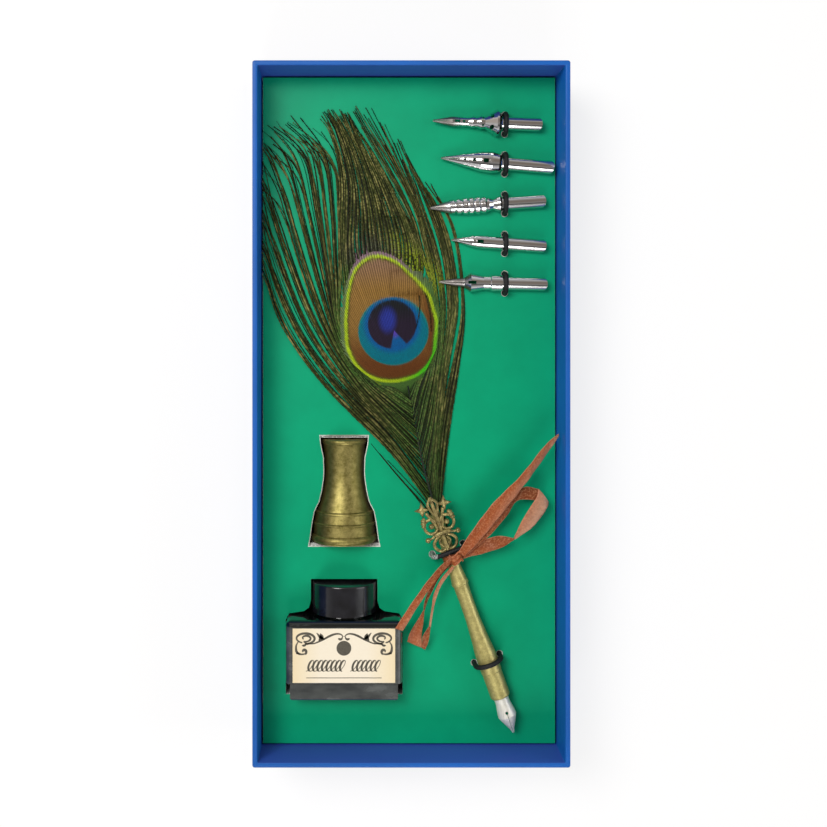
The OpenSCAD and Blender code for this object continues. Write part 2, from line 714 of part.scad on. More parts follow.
module star(x, y, r) {
    translate([x, y]) polygon([for (i = [0 : 7])
        let (reach = i % 2 == 0 ? r : r * 0.42) reach * [cos(i * 45), sin(i * 45)]]);
}

module hoop(x, y, r, w) {
    translate([x, y]) difference() {
        circle(r = r, $fn = 32);
        circle(r = r - w, $fn = 32);
    }
}

module rod(ax, ay, bx, by, w) {
    length = norm([bx - ax, by - ay]);
    translate([ax, ay]) rotate(atan2(by - ay, bx - ax)) translate([0, -w / 2]) square([length, w]);
}

module ornament() {
    wire = 0.9;
    top = -ornament_l;
    color(old_gold) pen_place() translate([-foot_s, 0, ornament_z]) linear_extrude(ornament_t) {
        rod(0, 0, top + 1.5, 0, 1.3);
        rod(top + 13.6, -2.5, top + 13.6, 2.5, 1.2);
        for (side = [-1, 1]) {
            rod(top + 2, side * 1.6, top, 0, wire);
            star(top + 3.8, side * 4, 2.2);
            rod(top + 11.8, side * 1.2, top + 3.8, side * 3.6, wire);
            hoop(top + 9.6, side * 3.1, 2.5, wire);
            rod(top + 14, side * 2, top + 14.7, side * 5.6, wire * 0.8);
            translate([top + 14.7, side * 5.6]) circle(r = 0.75, $fn = 24);
            hoop(-2.6, side * 2.2, 2.3, wire);
        }
    }
}

// Ribbon: one length of satin tied round the neck, with two loops and two tails

wrap_t = 0.5;
wrap_l = 3.4;
lump_r = 2.4;

module strand(path) {
    function ring(i) = let (roll = path[i][3])
        [for (c = [[1, 1], [-1, 1], [-1, -1], [1, -1]])
            let (x = c[0] * ribbon_w / 2, y = c[1] * ribbon_t / 2)
                [x * cos(roll) - y * sin(roll), x * sin(roll) + y * cos(roll)]];
    sweep([for (p = path) [p[0], p[1], p[2] + card_top]], function (i) ring(i));
}

module ribbon_bow() {
    inner_r = neck_r + 2 * seat_gap;
    color(copper) {
        strand(tail_up);
        strand(loop_right);
        strand(tail_down);
        strand(loop_down);
        pen_place() difference() {
            union() {
                turned([[0, -knot_s - wrap_l / 2], [inner_r + wrap_t, -knot_s - wrap_l / 2],
                    [inner_r + wrap_t, wrap_l / 2 - knot_s], [0, wrap_l / 2 - knot_s]]);
                translate([-knot_s, 0, neck_r + 1.6]) sphere(r = lump_r, $fn = 24);
            }
            translate([-knot_s - 2 * lump_r, 0, 0]) rotate([0, 90, 0])
                cylinder(r = inner_r, h = 4 * lump_r);
        }
    }
}

// Feather

module feather_quill() {
    start = [for (s = [grip_l + barrel_l - socket_l + 1 : 3.5 : grip_l + barrel_l + 1])
        [pen_x - s * cos(pen_angle), pen_y - s * sin(pen_angle), pen_axis_h]];
    path = [for (p = concat(start, quill_path)) p + [0, 0, card_top]];
    function ring(i) = let (r = mix(quill_r, quill_tip_r, i / (len(path) - 1)))
        [for (k = [0 : quill_sides - 1]) r * [cos(k * 360 / quill_sides), sin(k * 360 / quill_sides)]];
    color(quill_brown) sweep(path, function (i) ring(i));
}

function barb_point(tips, bends, u, t) =
    curve([curve([quill_root, quill_bend, quill_end], u), curve(bends, u), curve(tips, u)], t);

// One side of the vane: each barb runs out to its tip and back, and they join at their roots
function barb_comb(tips, bends) =
    let (half = 0.5 / barbs, root_t = 0.06) concat(
        [for (i = [0 : barbs - 1])
            let (u = (i + 0.5) / barbs, reach = 0.93 + 0.07 * sin(i * 137))
                for (k = [0 : 2 * barb_steps - 1])
                    let (side = k <= barb_steps ? -1 : 1,
                        far = (k <= barb_steps ? k : 2 * barb_steps - k) / barb_steps,
                        slim = half * mix(1, 0.12, far))
                            barb_point(tips, bends, u + side * slim, mix(root_t, reach, far))],
        [barb_point(tips, bends, 1, root_t)]);

// The cells of barb i on one side, from its root to its tip, as places in the side's comb
function barb_cells(i) =
    [for (j = [0 : barb_steps - 1])
        let (out = 2 * barb_steps * i + j, back = 2 * barb_steps * (i + 1) - j)
            j == barb_steps - 1 ? [out, out + 1, back] : [out, out + 1, back - 1, back]];

module feather_vane() {
    turn = 2 * barb_steps;
    count = barbs * turn + 1;
    outline = concat(barb_comb(left_tips, left_bends), barb_comb(right_tips, right_bends));
    round_trip = concat([for (i = [0 : count - 1]) i], [for (i = [2 * count - 1 : -1 : count]) i]);
    walls = [for (i = [0 : 2 * count - 1])
        let (a = round_trip[i], b = round_trip[(i + 1) % (2 * count)])
            [a, b, b + 2 * count, a + 2 * count]];
    cells = concat(
        [for (i = [0 : barbs - 1]) each barb_cells(i)],
        [for (i = [0 : barbs - 1], c = barb_cells(i)) [for (k = [len(c) - 1 : -1 : 0]) c[k] + count]],
        [for (i = [0 : barbs - 1]) [i * turn, (i + 1) * turn, count + (i + 1) * turn, count + i * turn]]);
    upper = [for (c = cells) [for (k = c) k + 2 * count]];
    lower = [for (c = cells) [for (i = [len(c) - 1 : -1 : 0]) c[i]]];
    color(barb_green) translate([0, 0, card_top + vane_z])
        polyhedron(points = [for (z = [0, vane_t], p = outline) [p[0], p[1], z]],
            faces = concat(walls, upper, lower));
}

module feather_eye() {
    color(eye_blue) translate([0, 0, card_top + eye_z]) linear_extrude(eye_t)
        polygon([for (i = [0 : 3], k = [0 : eye_steps - 1])
            curve([eye_points[i], eye_bends[i], eye_points[(i + 1) % 4]], k / eye_steps)]);
}

tray_board();
tray_wrap();
floor_lining();
foam_block();
insert_card();
nib_loop_1();
nib_loop_2();
nib_loop_3();
nib_loop_4();
nib_loop_5();
pen_loop_lower();
pen_loop_upper();
nib_pierced();
nib_leaf();
nib_ribbed();
nib_fine();
nib_shouldered();
pen_stand();
bottle_glass();
ink();
bottle_label();
cap_liner();
bottle_cap();
pen_barrel();
nib_grip();
pen_nib();
ornament();
ribbon_bow();
feather_quill();
feather_vane();
feather_eye();
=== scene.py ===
"""Looks of the calligraphy set box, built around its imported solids.

Lengths are in metres, in the frame of the solids: X across the tray, Y along it, Z up.
"""

import functools
import math

import bmesh
import bpy
import numpy as np
from mathutils import Matrix, Vector


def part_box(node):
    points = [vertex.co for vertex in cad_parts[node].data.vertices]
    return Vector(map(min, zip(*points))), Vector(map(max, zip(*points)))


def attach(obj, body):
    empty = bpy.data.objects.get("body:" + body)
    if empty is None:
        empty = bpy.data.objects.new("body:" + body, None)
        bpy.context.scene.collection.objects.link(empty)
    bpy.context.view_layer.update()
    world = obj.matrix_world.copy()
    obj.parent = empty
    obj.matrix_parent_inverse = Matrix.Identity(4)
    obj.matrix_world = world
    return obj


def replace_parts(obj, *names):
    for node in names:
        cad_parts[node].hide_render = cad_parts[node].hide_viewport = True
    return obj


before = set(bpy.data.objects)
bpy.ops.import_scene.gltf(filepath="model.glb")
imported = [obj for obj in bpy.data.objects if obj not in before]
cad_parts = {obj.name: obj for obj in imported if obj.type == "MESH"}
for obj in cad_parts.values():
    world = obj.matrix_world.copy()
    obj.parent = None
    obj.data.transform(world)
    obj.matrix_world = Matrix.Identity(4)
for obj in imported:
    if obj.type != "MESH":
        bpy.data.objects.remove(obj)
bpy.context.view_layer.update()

bl_info = {
    "name": "Calligraphy Set Box",
    "version": (1, 0, 0),
    "blender": (4, 5, 0),
    "location": "View3D > Sidebar > Calligraphy Set",
    "description": "Builds and finishes the pieces of a feather pen set in its tray",
    "category": "Add Mesh",
}

MM = 0.001
CARD_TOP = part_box("insert_card")[1].z
# The front of the pen's grip, the height of the pen's axis, and the way that the pen points
PEN_X, PEN_Y = 33, -103.4
PEN_AXIS = (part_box("nib_grip")[0].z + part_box("nib_grip")[1].z) / 2
PEN_FRONT = Vector((PEN_X * MM, PEN_Y * MM, PEN_AXIS))
PEN_ANGLE = math.radians(-70.3)
NIBS = ("nib_pierced", "nib_leaf", "nib_ribbed", "nib_fine", "nib_shouldered")


# Meshes


def make_piece(name, verts, faces, material, body, smooth=True):
    """An object from points and faces, that moves with its body and takes its finish from its slot."""
    mesh = bpy.data.meshes.new(name)
    mesh.from_pydata([tuple(v) for v in verts], [], [tuple(int(i) for i in f) for f in faces])
    mesh.update()
    piece = bpy.data.objects.new(name, mesh)
    bpy.context.scene.collection.objects.link(piece)
    mesh.materials.append(material)
    if smooth:
        mesh.shade_smooth()
    if body:
        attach(piece, body)
    return piece


def between_points(a, b, c, d, t):
    """The place at the share t of the way from b to c, on a smooth curve through a, b, c and d."""
    return 0.5 * ((2 * b) + (c - a) * t + (2 * a - 5 * b + 4 * c - d) * t ** 2
                  + (3 * b - a - 3 * c + d) * t ** 3)


def smooth_path(points, steps):
    """A smooth curve through points in a plane or in space, with that many steps to a span."""
    p = np.array(points, float)
    p = np.vstack([2 * p[0] - p[1], p, 2 * p[-1] - p[-2]])
    found = [between_points(*p[i:i + 4], k / steps) for i in range(len(p) - 3) for k in range(steps)]
    return np.array(found + [p[-2]])


def directions(path, closed=False):
    """The way that a path runs at each of its points."""
    if closed:
        d = np.roll(path, -1, 0) - np.roll(path, 1, 0)
    else:
        d = np.gradient(path, axis=0)
    return d / np.maximum(np.linalg.norm(d, axis=1), 1e-12)[:, None]


def lengths_along(path):
    """The length of a path up to each of its points."""
    return np.concatenate([[0], np.cumsum(np.linalg.norm(np.diff(path, axis=0), axis=1))])


def tube_mesh(path, radii, sides, closed=False, up=(0, 0, 1)):
    """Points, faces and a UV for each face corner, of a round tube along a path."""
    path = np.array(path, float)
    n = len(path)
    radii = np.broadcast_to(np.array(radii, float), (n,))
    along = directions(path, closed)
    beside = np.cross(along, np.broadcast_to(np.array(up, float), along.shape))
    beside /= np.maximum(np.linalg.norm(beside, axis=1), 1e-9)[:, None]
    above = np.cross(beside, along)
    turn = np.arange(sides) * 2 * math.pi / sides
    ring = np.cos(turn)[None, :, None] * beside[:, None] + np.sin(turn)[None, :, None] * above[:, None]
    verts = (path[:, None] + ring * radii[:, None, None]).reshape(-1, 3)
    length = lengths_along(path)
    faces, uvs = [], []
    for i in range(n if closed else n - 1):
        j = (i + 1) % n
        here, there = length[i], length[i + 1] if i + 1 < n else length[-1] + MM
        for k in range(sides):
            m = (k + 1) % sides
            faces.append((i * sides + k, i * sides + m, j * sides + m, j * sides + k))
            low, high = k / sides, (k + 1) / sides
            uvs += [(here, low), (here, high), (there, high), (there, low)]
    if not closed:
        faces.append(tuple(range(sides - 1, -1, -1)))
        faces.append(tuple((n - 1) * sides + k for k in range(sides)))
        uvs += [(0, 0)] * sides + [(length[-1], 0)] * sides
    return verts, faces, uvs


def add_uv(piece, uvs):
    """The length along a piece and the way round it, that its weave follows."""
    layer = piece.data.uv_layers.new(name="along")
    layer.data.foreach_set("uv", np.array(uvs, np.float32).ravel())


def join_meshes(parts):
    """One set of points and faces from several."""
    verts, faces, start = [], [], 0
    for v, f in parts:
        verts.append(np.array(v, float))
        faces += [tuple(i + start for i in face) for face in f]
        start += len(v)
    return np.vstack(verts), faces


def add_tint(piece, colours):
    """A colour for each point, that the material reads."""
    layer = piece.data.color_attributes.new(name="tint", type="FLOAT_COLOR", domain="POINT")
    rgba = np.ones((len(colours), 4), np.float32)
    rgba[:, :3] = colours
    layer.data.foreach_set("color", rgba.ravel())


def mixed(first, second, share):
    """A number or colour that is the share of the way from the first to the second."""
    return first + (second - first) * share


def shaded(colour, factor):
    """A colour made darker or lighter by a factor."""
    return tuple(min(factor * c, 1) for c in colour)


def linear(r, g, b):
    """A colour given as 0 to 255 screen values, as the light values that shaders use."""
    c = np.array([r, g, b], float) / 255
    return tuple(np.where(c <= 0.04045, c / 12.92, ((c + 0.055) / 1.055) ** 2.4))


# Materials


def set_stops(band, stops):
    """Gives a colour ramp its stops, each a place and a grey value or colour."""
    elements = band.color_ramp.elements
    while len(elements) < len(stops):
        elements.new(0.5)
    for element, (place, value) in zip(elements, stops):
        element.position = place
        element.color = (*value, 1) if hasattr(value, "__len__") else (value, value, value, 1)


class Finish:
    """A node material around one Principled shader."""

    def __init__(self, name, **sockets):
        self.material = bpy.data.materials.new(name)
        self.material.use_nodes = True
        self.nodes = self.material.node_tree.nodes
        self.links = self.material.node_tree.links
        self.shader = self.nodes["Principled BSDF"]
        for key, value in sockets.items():
            socket = self.shader.inputs[key.replace("_", " ")]
            if socket.type == "RGBA" and len(value) == 3:
                value = (*value, 1)
            socket.default_value = value

    def add(self, kind, inputs=None, **choices):
        """A new node, with its choices made and its inputs linked or set."""
        node = self.nodes.new(kind)
        for key, value in choices.items():
            setattr(node, key, value)
        for key, value in (inputs or {}).items():
            if isinstance(value, bpy.types.NodeSocket):
                self.links.new(value, node.inputs[key])
            else:
                node.inputs[key].default_value = value
        return node

    def place(self, scale=(1, 1, 1)):
        """Places on the piece in its own frame, stretched."""
        where = self.add("ShaderNodeTexCoord").outputs["Object"]
        return self.add("ShaderNodeMapping", {"Vector": where, "Scale": scale}).outputs["Vector"]

    def noise(self, scale, detail=3, roughness=0.5, stretch=(1, 1, 1)):
        return self.add("ShaderNodeTexNoise", {"Scale": scale, "Detail": detail, "Roughness": roughness,
                                               "Vector": self.place(stretch)}).outputs["Fac"]

    def pores(self, scale):
        cells = self.add("ShaderNodeTexVoronoi", {"Scale": scale, "Vector": self.place()})
        return cells.outputs["Distance"]

    def ramp(self, factor, stops):
        """A colour that follows factor over stops, each a place and a grey value or colour."""
        node = self.add("ShaderNodeValToRGB", {"Fac": factor})
        set_stops(node, stops)
        return node.outputs["Color"]

    def mix(self, factor, a, b):
        """Colour a where factor is 0, and b where it is 1."""
        node = self.add("ShaderNodeMix", data_type="RGBA")
        for index, value in ((0, factor), (6, a), (7, b)):
            if isinstance(value, bpy.types.NodeSocket):
                self.links.new(value, node.inputs[index])
            elif index:
                node.inputs[index].default_value = (*value, 1)
            else:
                node.inputs[index].default_value = value
        return node.outputs[2]

    def math(self, operation, a, b=0.0, c=0.0):
        return self.add("ShaderNodeMath", {0: a, 1: b, 2: c}, operation=operation).outputs[0]

    def from_to(self, socket, low, high):
        """A factor that is 0 up to low and 1 from high on."""
        node = self.add("ShaderNodeMapRange", {"Value": socket, "From Min": low, "From Max": high})
        return node.outputs["Result"]

    def colour(self, socket):
        self.links.new(socket, self.shader.inputs["Base Color"])

    def rough(self, socket, low, high):
        node = self.add("ShaderNodeMapRange", {"Value": socket, "To Min": low, "To Max": high})
        self.links.new(node.outputs["Result"], self.shader.inputs["Roughness"])

    def bump(self, height, strength, depth):
        """Small dents and ridges, over those that are there already."""
        node = self.add("ShaderNodeBump", {"Strength": strength, "Distance": depth, "Height": height})
        before = self.shader.inputs["Normal"]
        if before.is_linked:
            self.links.new(before.links[0].from_socket, node.inputs["Normal"])
        self.links.new(node.outputs["Normal"], before)

    def axis(self, name):
        """One coordinate of the place on the piece."""
        return self.add("ShaderNodeSeparateXYZ", {"Vector": self.place()}).outputs[name]

    def facing(self, name):
        """One coordinate of the surface's own normal."""
        where = self.add("ShaderNodeTexCoord")
        return self.add("ShaderNodeSeparateXYZ", {"Vector": where.outputs["Normal"]}).outputs[name]


def dress(node, finish):
    """Gives a solid of the frame its material."""
    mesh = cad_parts[node].data
    mesh.materials.clear()
    mesh.materials.append(finish.material)


# Sizes and colours that a user would change


class TraySettings(bpy.types.PropertyGroup):
    paper: bpy.props.FloatVectorProperty(
        name="Paper", description="Colour of the covering paper", subtype="COLOR",
        default=linear(10, 84, 164), min=0, max=1)
    board: bpy.props.FloatVectorProperty(
        name="Board", description="Colour of the board under the paper", subtype="COLOR",
        default=linear(176, 170, 160), min=0, max=1)
    edge: bpy.props.FloatProperty(
        name="Edge Radius", description="Radius of the paper where it folds over the rim",
        default=0.45 * MM, min=0.1 * MM, max=0.8 * MM, unit="LENGTH")


class InsertSettings(bpy.types.PropertyGroup):
    card: bpy.props.FloatVectorProperty(
        name="Card", description="Colour of the card's face", subtype="COLOR",
        default=linear(0, 148, 105), min=0, max=1)
    core: bpy.props.FloatVectorProperty(
        name="Core", description="Colour of the card's cut edges", subtype="COLOR",
        default=linear(226, 228, 220), min=0, max=1)
    foam: bpy.props.FloatVectorProperty(
        name="Foam", description="Colour of the foam block", subtype="COLOR",
        default=linear(196, 196, 194), min=0, max=1)


class ElasticSettings(bpy.types.PropertyGroup):
    cord: bpy.props.FloatProperty(
        name="Cord", description="Diameter of the elastic cord",
        default=1.7 * MM, min=1 * MM, max=2.5 * MM, unit="LENGTH")
    colour: bpy.props.FloatVectorProperty(
        name="Colour", description="Colour of the elastic cord", subtype="COLOR",
        default=linear(13, 13, 15), min=0, max=1)


class NibSettings(bpy.types.PropertyGroup):
    steel: bpy.props.FloatVectorProperty(
        name="Steel", description="Colour of the plated steel", subtype="COLOR",
        default=linear(222, 220, 220), min=0, max=1)
    blade: bpy.props.FloatVectorProperty(
        name="Blade", description="Colour of the matt blades", subtype="COLOR",
        default=linear(150, 144, 140), min=0, max=1)


class StandSettings(bpy.types.PropertyGroup):
    brass: bpy.props.FloatVectorProperty(
        name="Brass", description="Colour of the old brass", subtype="COLOR",
        default=linear(158, 146, 88), min=0, max=1)
    patina: bpy.props.FloatVectorProperty(
        name="Patina", description="Colour of the dark patina", subtype="COLOR",
        default=linear(104, 96, 44), min=0, max=1)


class BottleSettings(bpy.types.PropertyGroup):
    label: bpy.props.FloatVectorProperty(
        name="Label", description="Colour of the label's paper", subtype="COLOR",
        default=linear(226, 216, 196), min=0, max=1)
    print_ink: bpy.props.FloatVectorProperty(
        name="Print", description="Colour of the label's print", subtype="COLOR",
        default=linear(62, 58, 48), min=0, max=1)
    line: bpy.props.FloatProperty(
        name="Line", description="Width of a middling stroke of the label's print",
        default=0.62 * MM, min=0.2 * MM, max=1 * MM, unit="LENGTH")


class PenSettings(bpy.types.PropertyGroup):
    gold: bpy.props.FloatVectorProperty(
        name="Gold", description="Colour of the antique gold", subtype="COLOR",
        default=linear(200, 188, 120), min=0, max=1)
    wire: bpy.props.FloatProperty(
        name="Wire", description="Thickness of the ornament's wires",
        default=0.85 * MM, min=0.5 * MM, max=1.1 * MM, unit="LENGTH")


class RibbonSettings(bpy.types.PropertyGroup):
    width: bpy.props.FloatProperty(
        name="Width", description="Width of the satin ribbon",
        default=4 * MM, min=2 * MM, max=6 * MM, unit="LENGTH")
    satin: bpy.props.FloatVectorProperty(
        name="Satin", description="Colour of the satin", subtype="COLOR",
        default=linear(150, 74, 36), min=0, max=1)


class FeatherSettings(bpy.types.PropertyGroup):
    left_barbs: bpy.props.IntProperty(
        name="Left Barbs", description="Number of barbs on the left of the shaft",
        default=70, min=20, max=130)
    crown_barbs: bpy.props.IntProperty(
        name="Crown Barbs", description="Number of barbs beyond the eye",
        default=54, min=20, max=110)
    right_barbs: bpy.props.IntProperty(
        name="Right Barbs", description="Number of barbs on the right of the shaft",
        default=62, min=20, max=110)
    width: bpy.props.FloatProperty(
        name="Barb Width", description="Width of a barb with its close hairs",
        default=0.85 * MM, min=0.2 * MM, max=1.4 * MM, unit="LENGTH")


SETTINGS = {
    "tray": TraySettings, "insert": InsertSettings, "elastic": ElasticSettings, "nibs": NibSettings,
    "stand": StandSettings, "bottle": BottleSettings, "pen": PenSettings, "ribbon": RibbonSettings,
    "feather": FeatherSettings,
}


def settings(context, name):
    """The sizes and colours that are set for one group of pieces."""
    return getattr(context.scene, "writing_set_" + name)


# Stage

# Where the camera stands, in mm, its lens and how far its frame is shifted
CAMERA_PLACE = (-20.3, 31.1, 409)
CAMERA_LENS = 46.3
CAMERA_SHIFT = (0.0723, -0.1063)
# Name, place, side of its square, power and colour of each lamp, in metres and watts
LAMPS = (
    ("key", (-0.4, 0.32, 0.8), 0.42, 6.3, (1, 0.985, 0.965)),
    ("fill", (0.85, 0.02, 0.5), 0.5, 2.6, (0.95, 0.975, 1)),
    ("front", (-0.05, -0.75, 0.6), 0.42, 3.2, (1, 1, 1)),
    ("sheen", (-0.11, 0.28, 0.8), 0.1, 0.3, (0.97, 0.99, 1)),
)
SKY_LIGHT = 0.75
# The studio's tones from the ground up to the ceiling, and its panels from front to back
SKY_HEIGHTS = [(0.2, (1.1, 1.1, 1.1)), (0.5, (0.6, 0.6, 0.6)), (0.78, (0.3, 0.285, 0.27))]
SKY_PANELS = [(0.19, (1, 1, 1)), (0.24, (0.25, 0.25, 0.25)), (0.29, (0.25, 0.25, 0.25)),
              (0.34, (1.1, 1.1, 1.1)), (0.45, (1.1, 1.08, 1.05)), (0.53, (0.95, 0.84, 0.74)),
              (0.74, (0.9, 0.79, 0.68)), (0.82, (1.3, 1.3, 1.3)), (0.9, (1, 1, 1))]
TABLE_HALF = 3.0
TABLE_TONE = 0.86
TABLE_GLOW = 0.72


class WRITINGSET_OT_stage(bpy.types.Operator):
    """Set up the camera, the lamps and the pale table"""

    bl_idname = "writing_set.stage"
    bl_label = "Stage"

    def execute(self, context):
        scene = context.scene
        scene.view_settings.view_transform = "Standard"
        camera = bpy.data.objects.new("camera", bpy.data.cameras.new("camera"))
        scene.collection.objects.link(camera)
        camera.location = [c * MM for c in CAMERA_PLACE]
        camera.data.lens = CAMERA_LENS
        camera.data.shift_x, camera.data.shift_y = CAMERA_SHIFT
        camera.data.clip_start = 0.01
        scene.camera = camera
        for lamp in LAMPS:
            self.light(scene, *lamp)
        self.sky(scene)
        self.table()
        return {"FINISHED"}

    def light(self, scene, name, place, size, power, colour):
        """A square lamp that points at the middle of the tray."""
        lamp = bpy.data.lights.new(name, "AREA")
        lamp.shape = "SQUARE"
        lamp.size = size
        lamp.energy = power
        lamp.color = colour
        holder = bpy.data.objects.new(name, lamp)
        holder.location = place
        holder.rotation_euler = (-Vector(place)).to_track_quat("-Z", "Y").to_euler()
        scene.collection.objects.link(holder)

    def sky(self, scene):
        """A studio that is pale at the bottom, with panels of light and shade along it."""
        world = bpy.data.worlds.new("studio")
        scene.world = world
        world.use_nodes = True
        nodes, links = world.node_tree.nodes, world.node_tree.links
        air = nodes["Background"]
        air.inputs["Strength"].default_value = SKY_LIGHT
        where = nodes.new("ShaderNodeTexCoord")
        split = nodes.new("ShaderNodeSeparateXYZ")
        links.new(where.outputs["Generated"], split.inputs["Vector"])
        lengthwise = nodes.new("ShaderNodeMath")
        lengthwise.operation = "MULTIPLY_ADD"
        lengthwise.inputs[1].default_value = 0.5
        lengthwise.inputs[2].default_value = 0.5
        links.new(split.outputs["Y"], lengthwise.inputs[0])
        both = nodes.new("ShaderNodeMix")
        both.data_type, both.blend_type = "RGBA", "MULTIPLY"
        both.inputs[0].default_value = 1
        for index, socket, stops in ((6, split.outputs["Z"], SKY_HEIGHTS),
                                     (7, lengthwise.outputs[0], SKY_PANELS)):
            band = nodes.new("ShaderNodeValToRGB")
            links.new(socket, band.inputs["Fac"])
            set_stops(band, stops)
            links.new(band.outputs["Color"], both.inputs[index])
        links.new(both.outputs[2], air.inputs["Color"])

    def table(self):
        """A pale table top that looks white, also in glass and metal, and keeps the tray's shadow."""
        corners = [(x * TABLE_HALF, y * TABLE_HALF, 0) for x, y in ((-1, -1), (1, -1), (1, 1), (-1, 1))]
        finish = Finish("table_white", Base_Color=(TABLE_TONE,) * 3, Roughness=0.6)
        rays = finish.add("ShaderNodeLightPath")
        shown = finish.math("MAXIMUM", rays.outputs["Is Camera Ray"], rays.outputs["Is Glossy Ray"])
        shown = finish.math("MAXIMUM", shown, rays.outputs["Is Transmission Ray"])
        glow = finish.add("ShaderNodeEmission", {"Color": (1, 1, 1, 1), "Strength": 1.0})
        share = finish.math("MULTIPLY", shown, TABLE_GLOW)
        both = finish.add("ShaderNodeMixShader", {0: share, 1: finish.shader.outputs[0], 2: glow.outputs[0]})
        finish.links.new(both.outputs[0], finish.nodes["Material Output"].inputs["Surface"])
        floor = make_piece("table", corners, [(0, 1, 2, 3)], finish.material, None, smooth=False)


# Tray

# Corner radii of the paper, outside and at the least, and the flaps that close its outside corners
CORNER = 0.9 * MM
CORNER_LEAST = 0.3 * MM
CORNER_STEPS = 5
FLAP_WIDTH = 14 * MM
FLAP_THICKNESS = 0.06 * MM
FLAP_MARGIN = 1.2 * MM
FLAP_SLANT = 0.4 * MM


def rounded_loop(half_x, half_y, radius):
    """A closed rectangle with rounded corners, as places in a plane."""
    places = []
    for cx, cy, start in ((1, 1, 0), (-1, 1, 90), (-1, -1, 180), (1, -1, 270)):
        for k in range(CORNER_STEPS + 1):
            a = math.radians(start + 90 * k / CORNER_STEPS)
            places.append((cx * (half_x - radius) + radius * math.cos(a),
                           cy * (half_y - radius) + radius * math.sin(a)))
    return places


class WRITINGSET_OT_tray(bpy.types.Operator):
    """Wrap the tray in its blue paper, and finish the board and the lining"""

    bl_idname = "writing_set.tray"
    bl_label = "Tray"

    def execute(self, context):
        given = settings(context, "tray")
        paper = self.paper(given)
        self.cover(paper, given.edge)
        self.flaps(paper)
        board = Finish("grey_board", Roughness=0.85)
        fibres = board.noise(900, 4)
        board.colour(board.ramp(fibres, [(0.35, shaded(given.board, 0.8)), (0.65, given.board)]))
        board.bump(fibres, 0.3, 0.05 * MM)
        dress("tray_board", board)
        dress("floor_lining", board)
        return {"FINISHED"}

    def cover(self, paper, edge):
        """The paper up the outside of the walls, over their rim and down their inside."""
        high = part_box("tray_wrap")[1]
        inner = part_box("floor_lining")[1]
        profile = [(high.x, 0), (high.x, high.z - edge)]
        profile += [(high.x - edge + edge * math.cos(a), high.z - edge + edge * math.sin(a))
                    for a in np.radians([30, 60, 90])]
        profile += [(inner.x + edge - edge * math.sin(a), high.z - edge + edge * math.cos(a))
                    for a in np.radians([0, 30, 60, 90])]
        profile += [(inner.x, inner.z)]
        verts, faces = [], []
        for x, z in profile:
            set_in = high.x - x
            corner = max(CORNER - set_in * 0.4, CORNER_LEAST)
            verts += [(*place, z) for place in rounded_loop(x, high.y - set_in, corner)]
        count = len(verts) // len(profile)
        for i in range(len(profile) - 1):
            for k in range(count):
                m = (k + 1) % count
                faces.append((i * count + k, i * count + m, (i + 1) * count + m, (i + 1) * count + k))
        cover = make_piece("tray_cover", verts, faces, paper.material, "tray")
        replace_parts(cover, "tray_wrap")

    def paper(self, given):
        """Blue paper with fine fibres, and a painted violet shade on the two end walls."""
        finish = Finish("blue_paper", Roughness=0.5, Specular_IOR_Level=0.3)
        fibres = finish.noise(2600, 3, stretch=(1, 1, 0.35))
        clouds = finish.noise(30, 3)
        tone = finish.ramp(clouds, [(0.3, shaded(given.paper, 0.86)), (0.7, shaded(given.paper, 1.12))])
        tone = finish.mix(finish.ramp(fibres, [(0.35, 0.0), (0.75, 0.16)]), tone, given.paper)
        # Painted shade: the walls that face along Y are tinted darker and more violet
        painted_end_wall_shade = finish.ramp(finish.math("ABSOLUTE", finish.facing("Y")), [(0.6, 0.0), (1.0, 0.6)])
        finish.colour(finish.mix(painted_end_wall_shade, tone, linear(58, 70, 158)))
        finish.rough(fibres, 0.42, 0.55)
        finish.bump(fibres, 0.25, 0.02 * MM)
        return finish

    def flaps(self, paper):
        """The folded-over paper at each outside corner: a thin flap with a straight edge."""
        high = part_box("tray_wrap")[1]
        parts = []
        for sx in (-1, 1):
            for sy in (-1, 1):
                x0, x1 = sx * (high.x - FLAP_MARGIN), sx * (high.x - FLAP_WIDTH)
                y, z0, z1 = sy * (high.y + FLAP_THICKNESS), 0.4 * MM, high.z - FLAP_MARGIN
                quad = [(x0, y, z0), (x1, y, z0), (x1 - sx * FLAP_SLANT, y, z1), (x0, y, z1)]
                back = [(px, sy * high.y, pz) for px, _, pz in quad]
                sides = [(k, k + 4, (k + 1) % 4 + 4, (k + 1) % 4) for k in range(4)]
                parts.append((quad + back, [(0, 1, 2, 3)] + sides))
        verts, faces = join_meshes(parts)
        make_piece("tray_corner_flaps", verts, faces, paper.material, "tray", smooth=False)


# Insert

# How much of the card's core is bare at its cut edges, and how far round the bottle it stays covered
BARE = 0.3 * MM
BOTTLE_BESIDE = 4 * MM
BOTTLE_BEYOND = 14 * MM


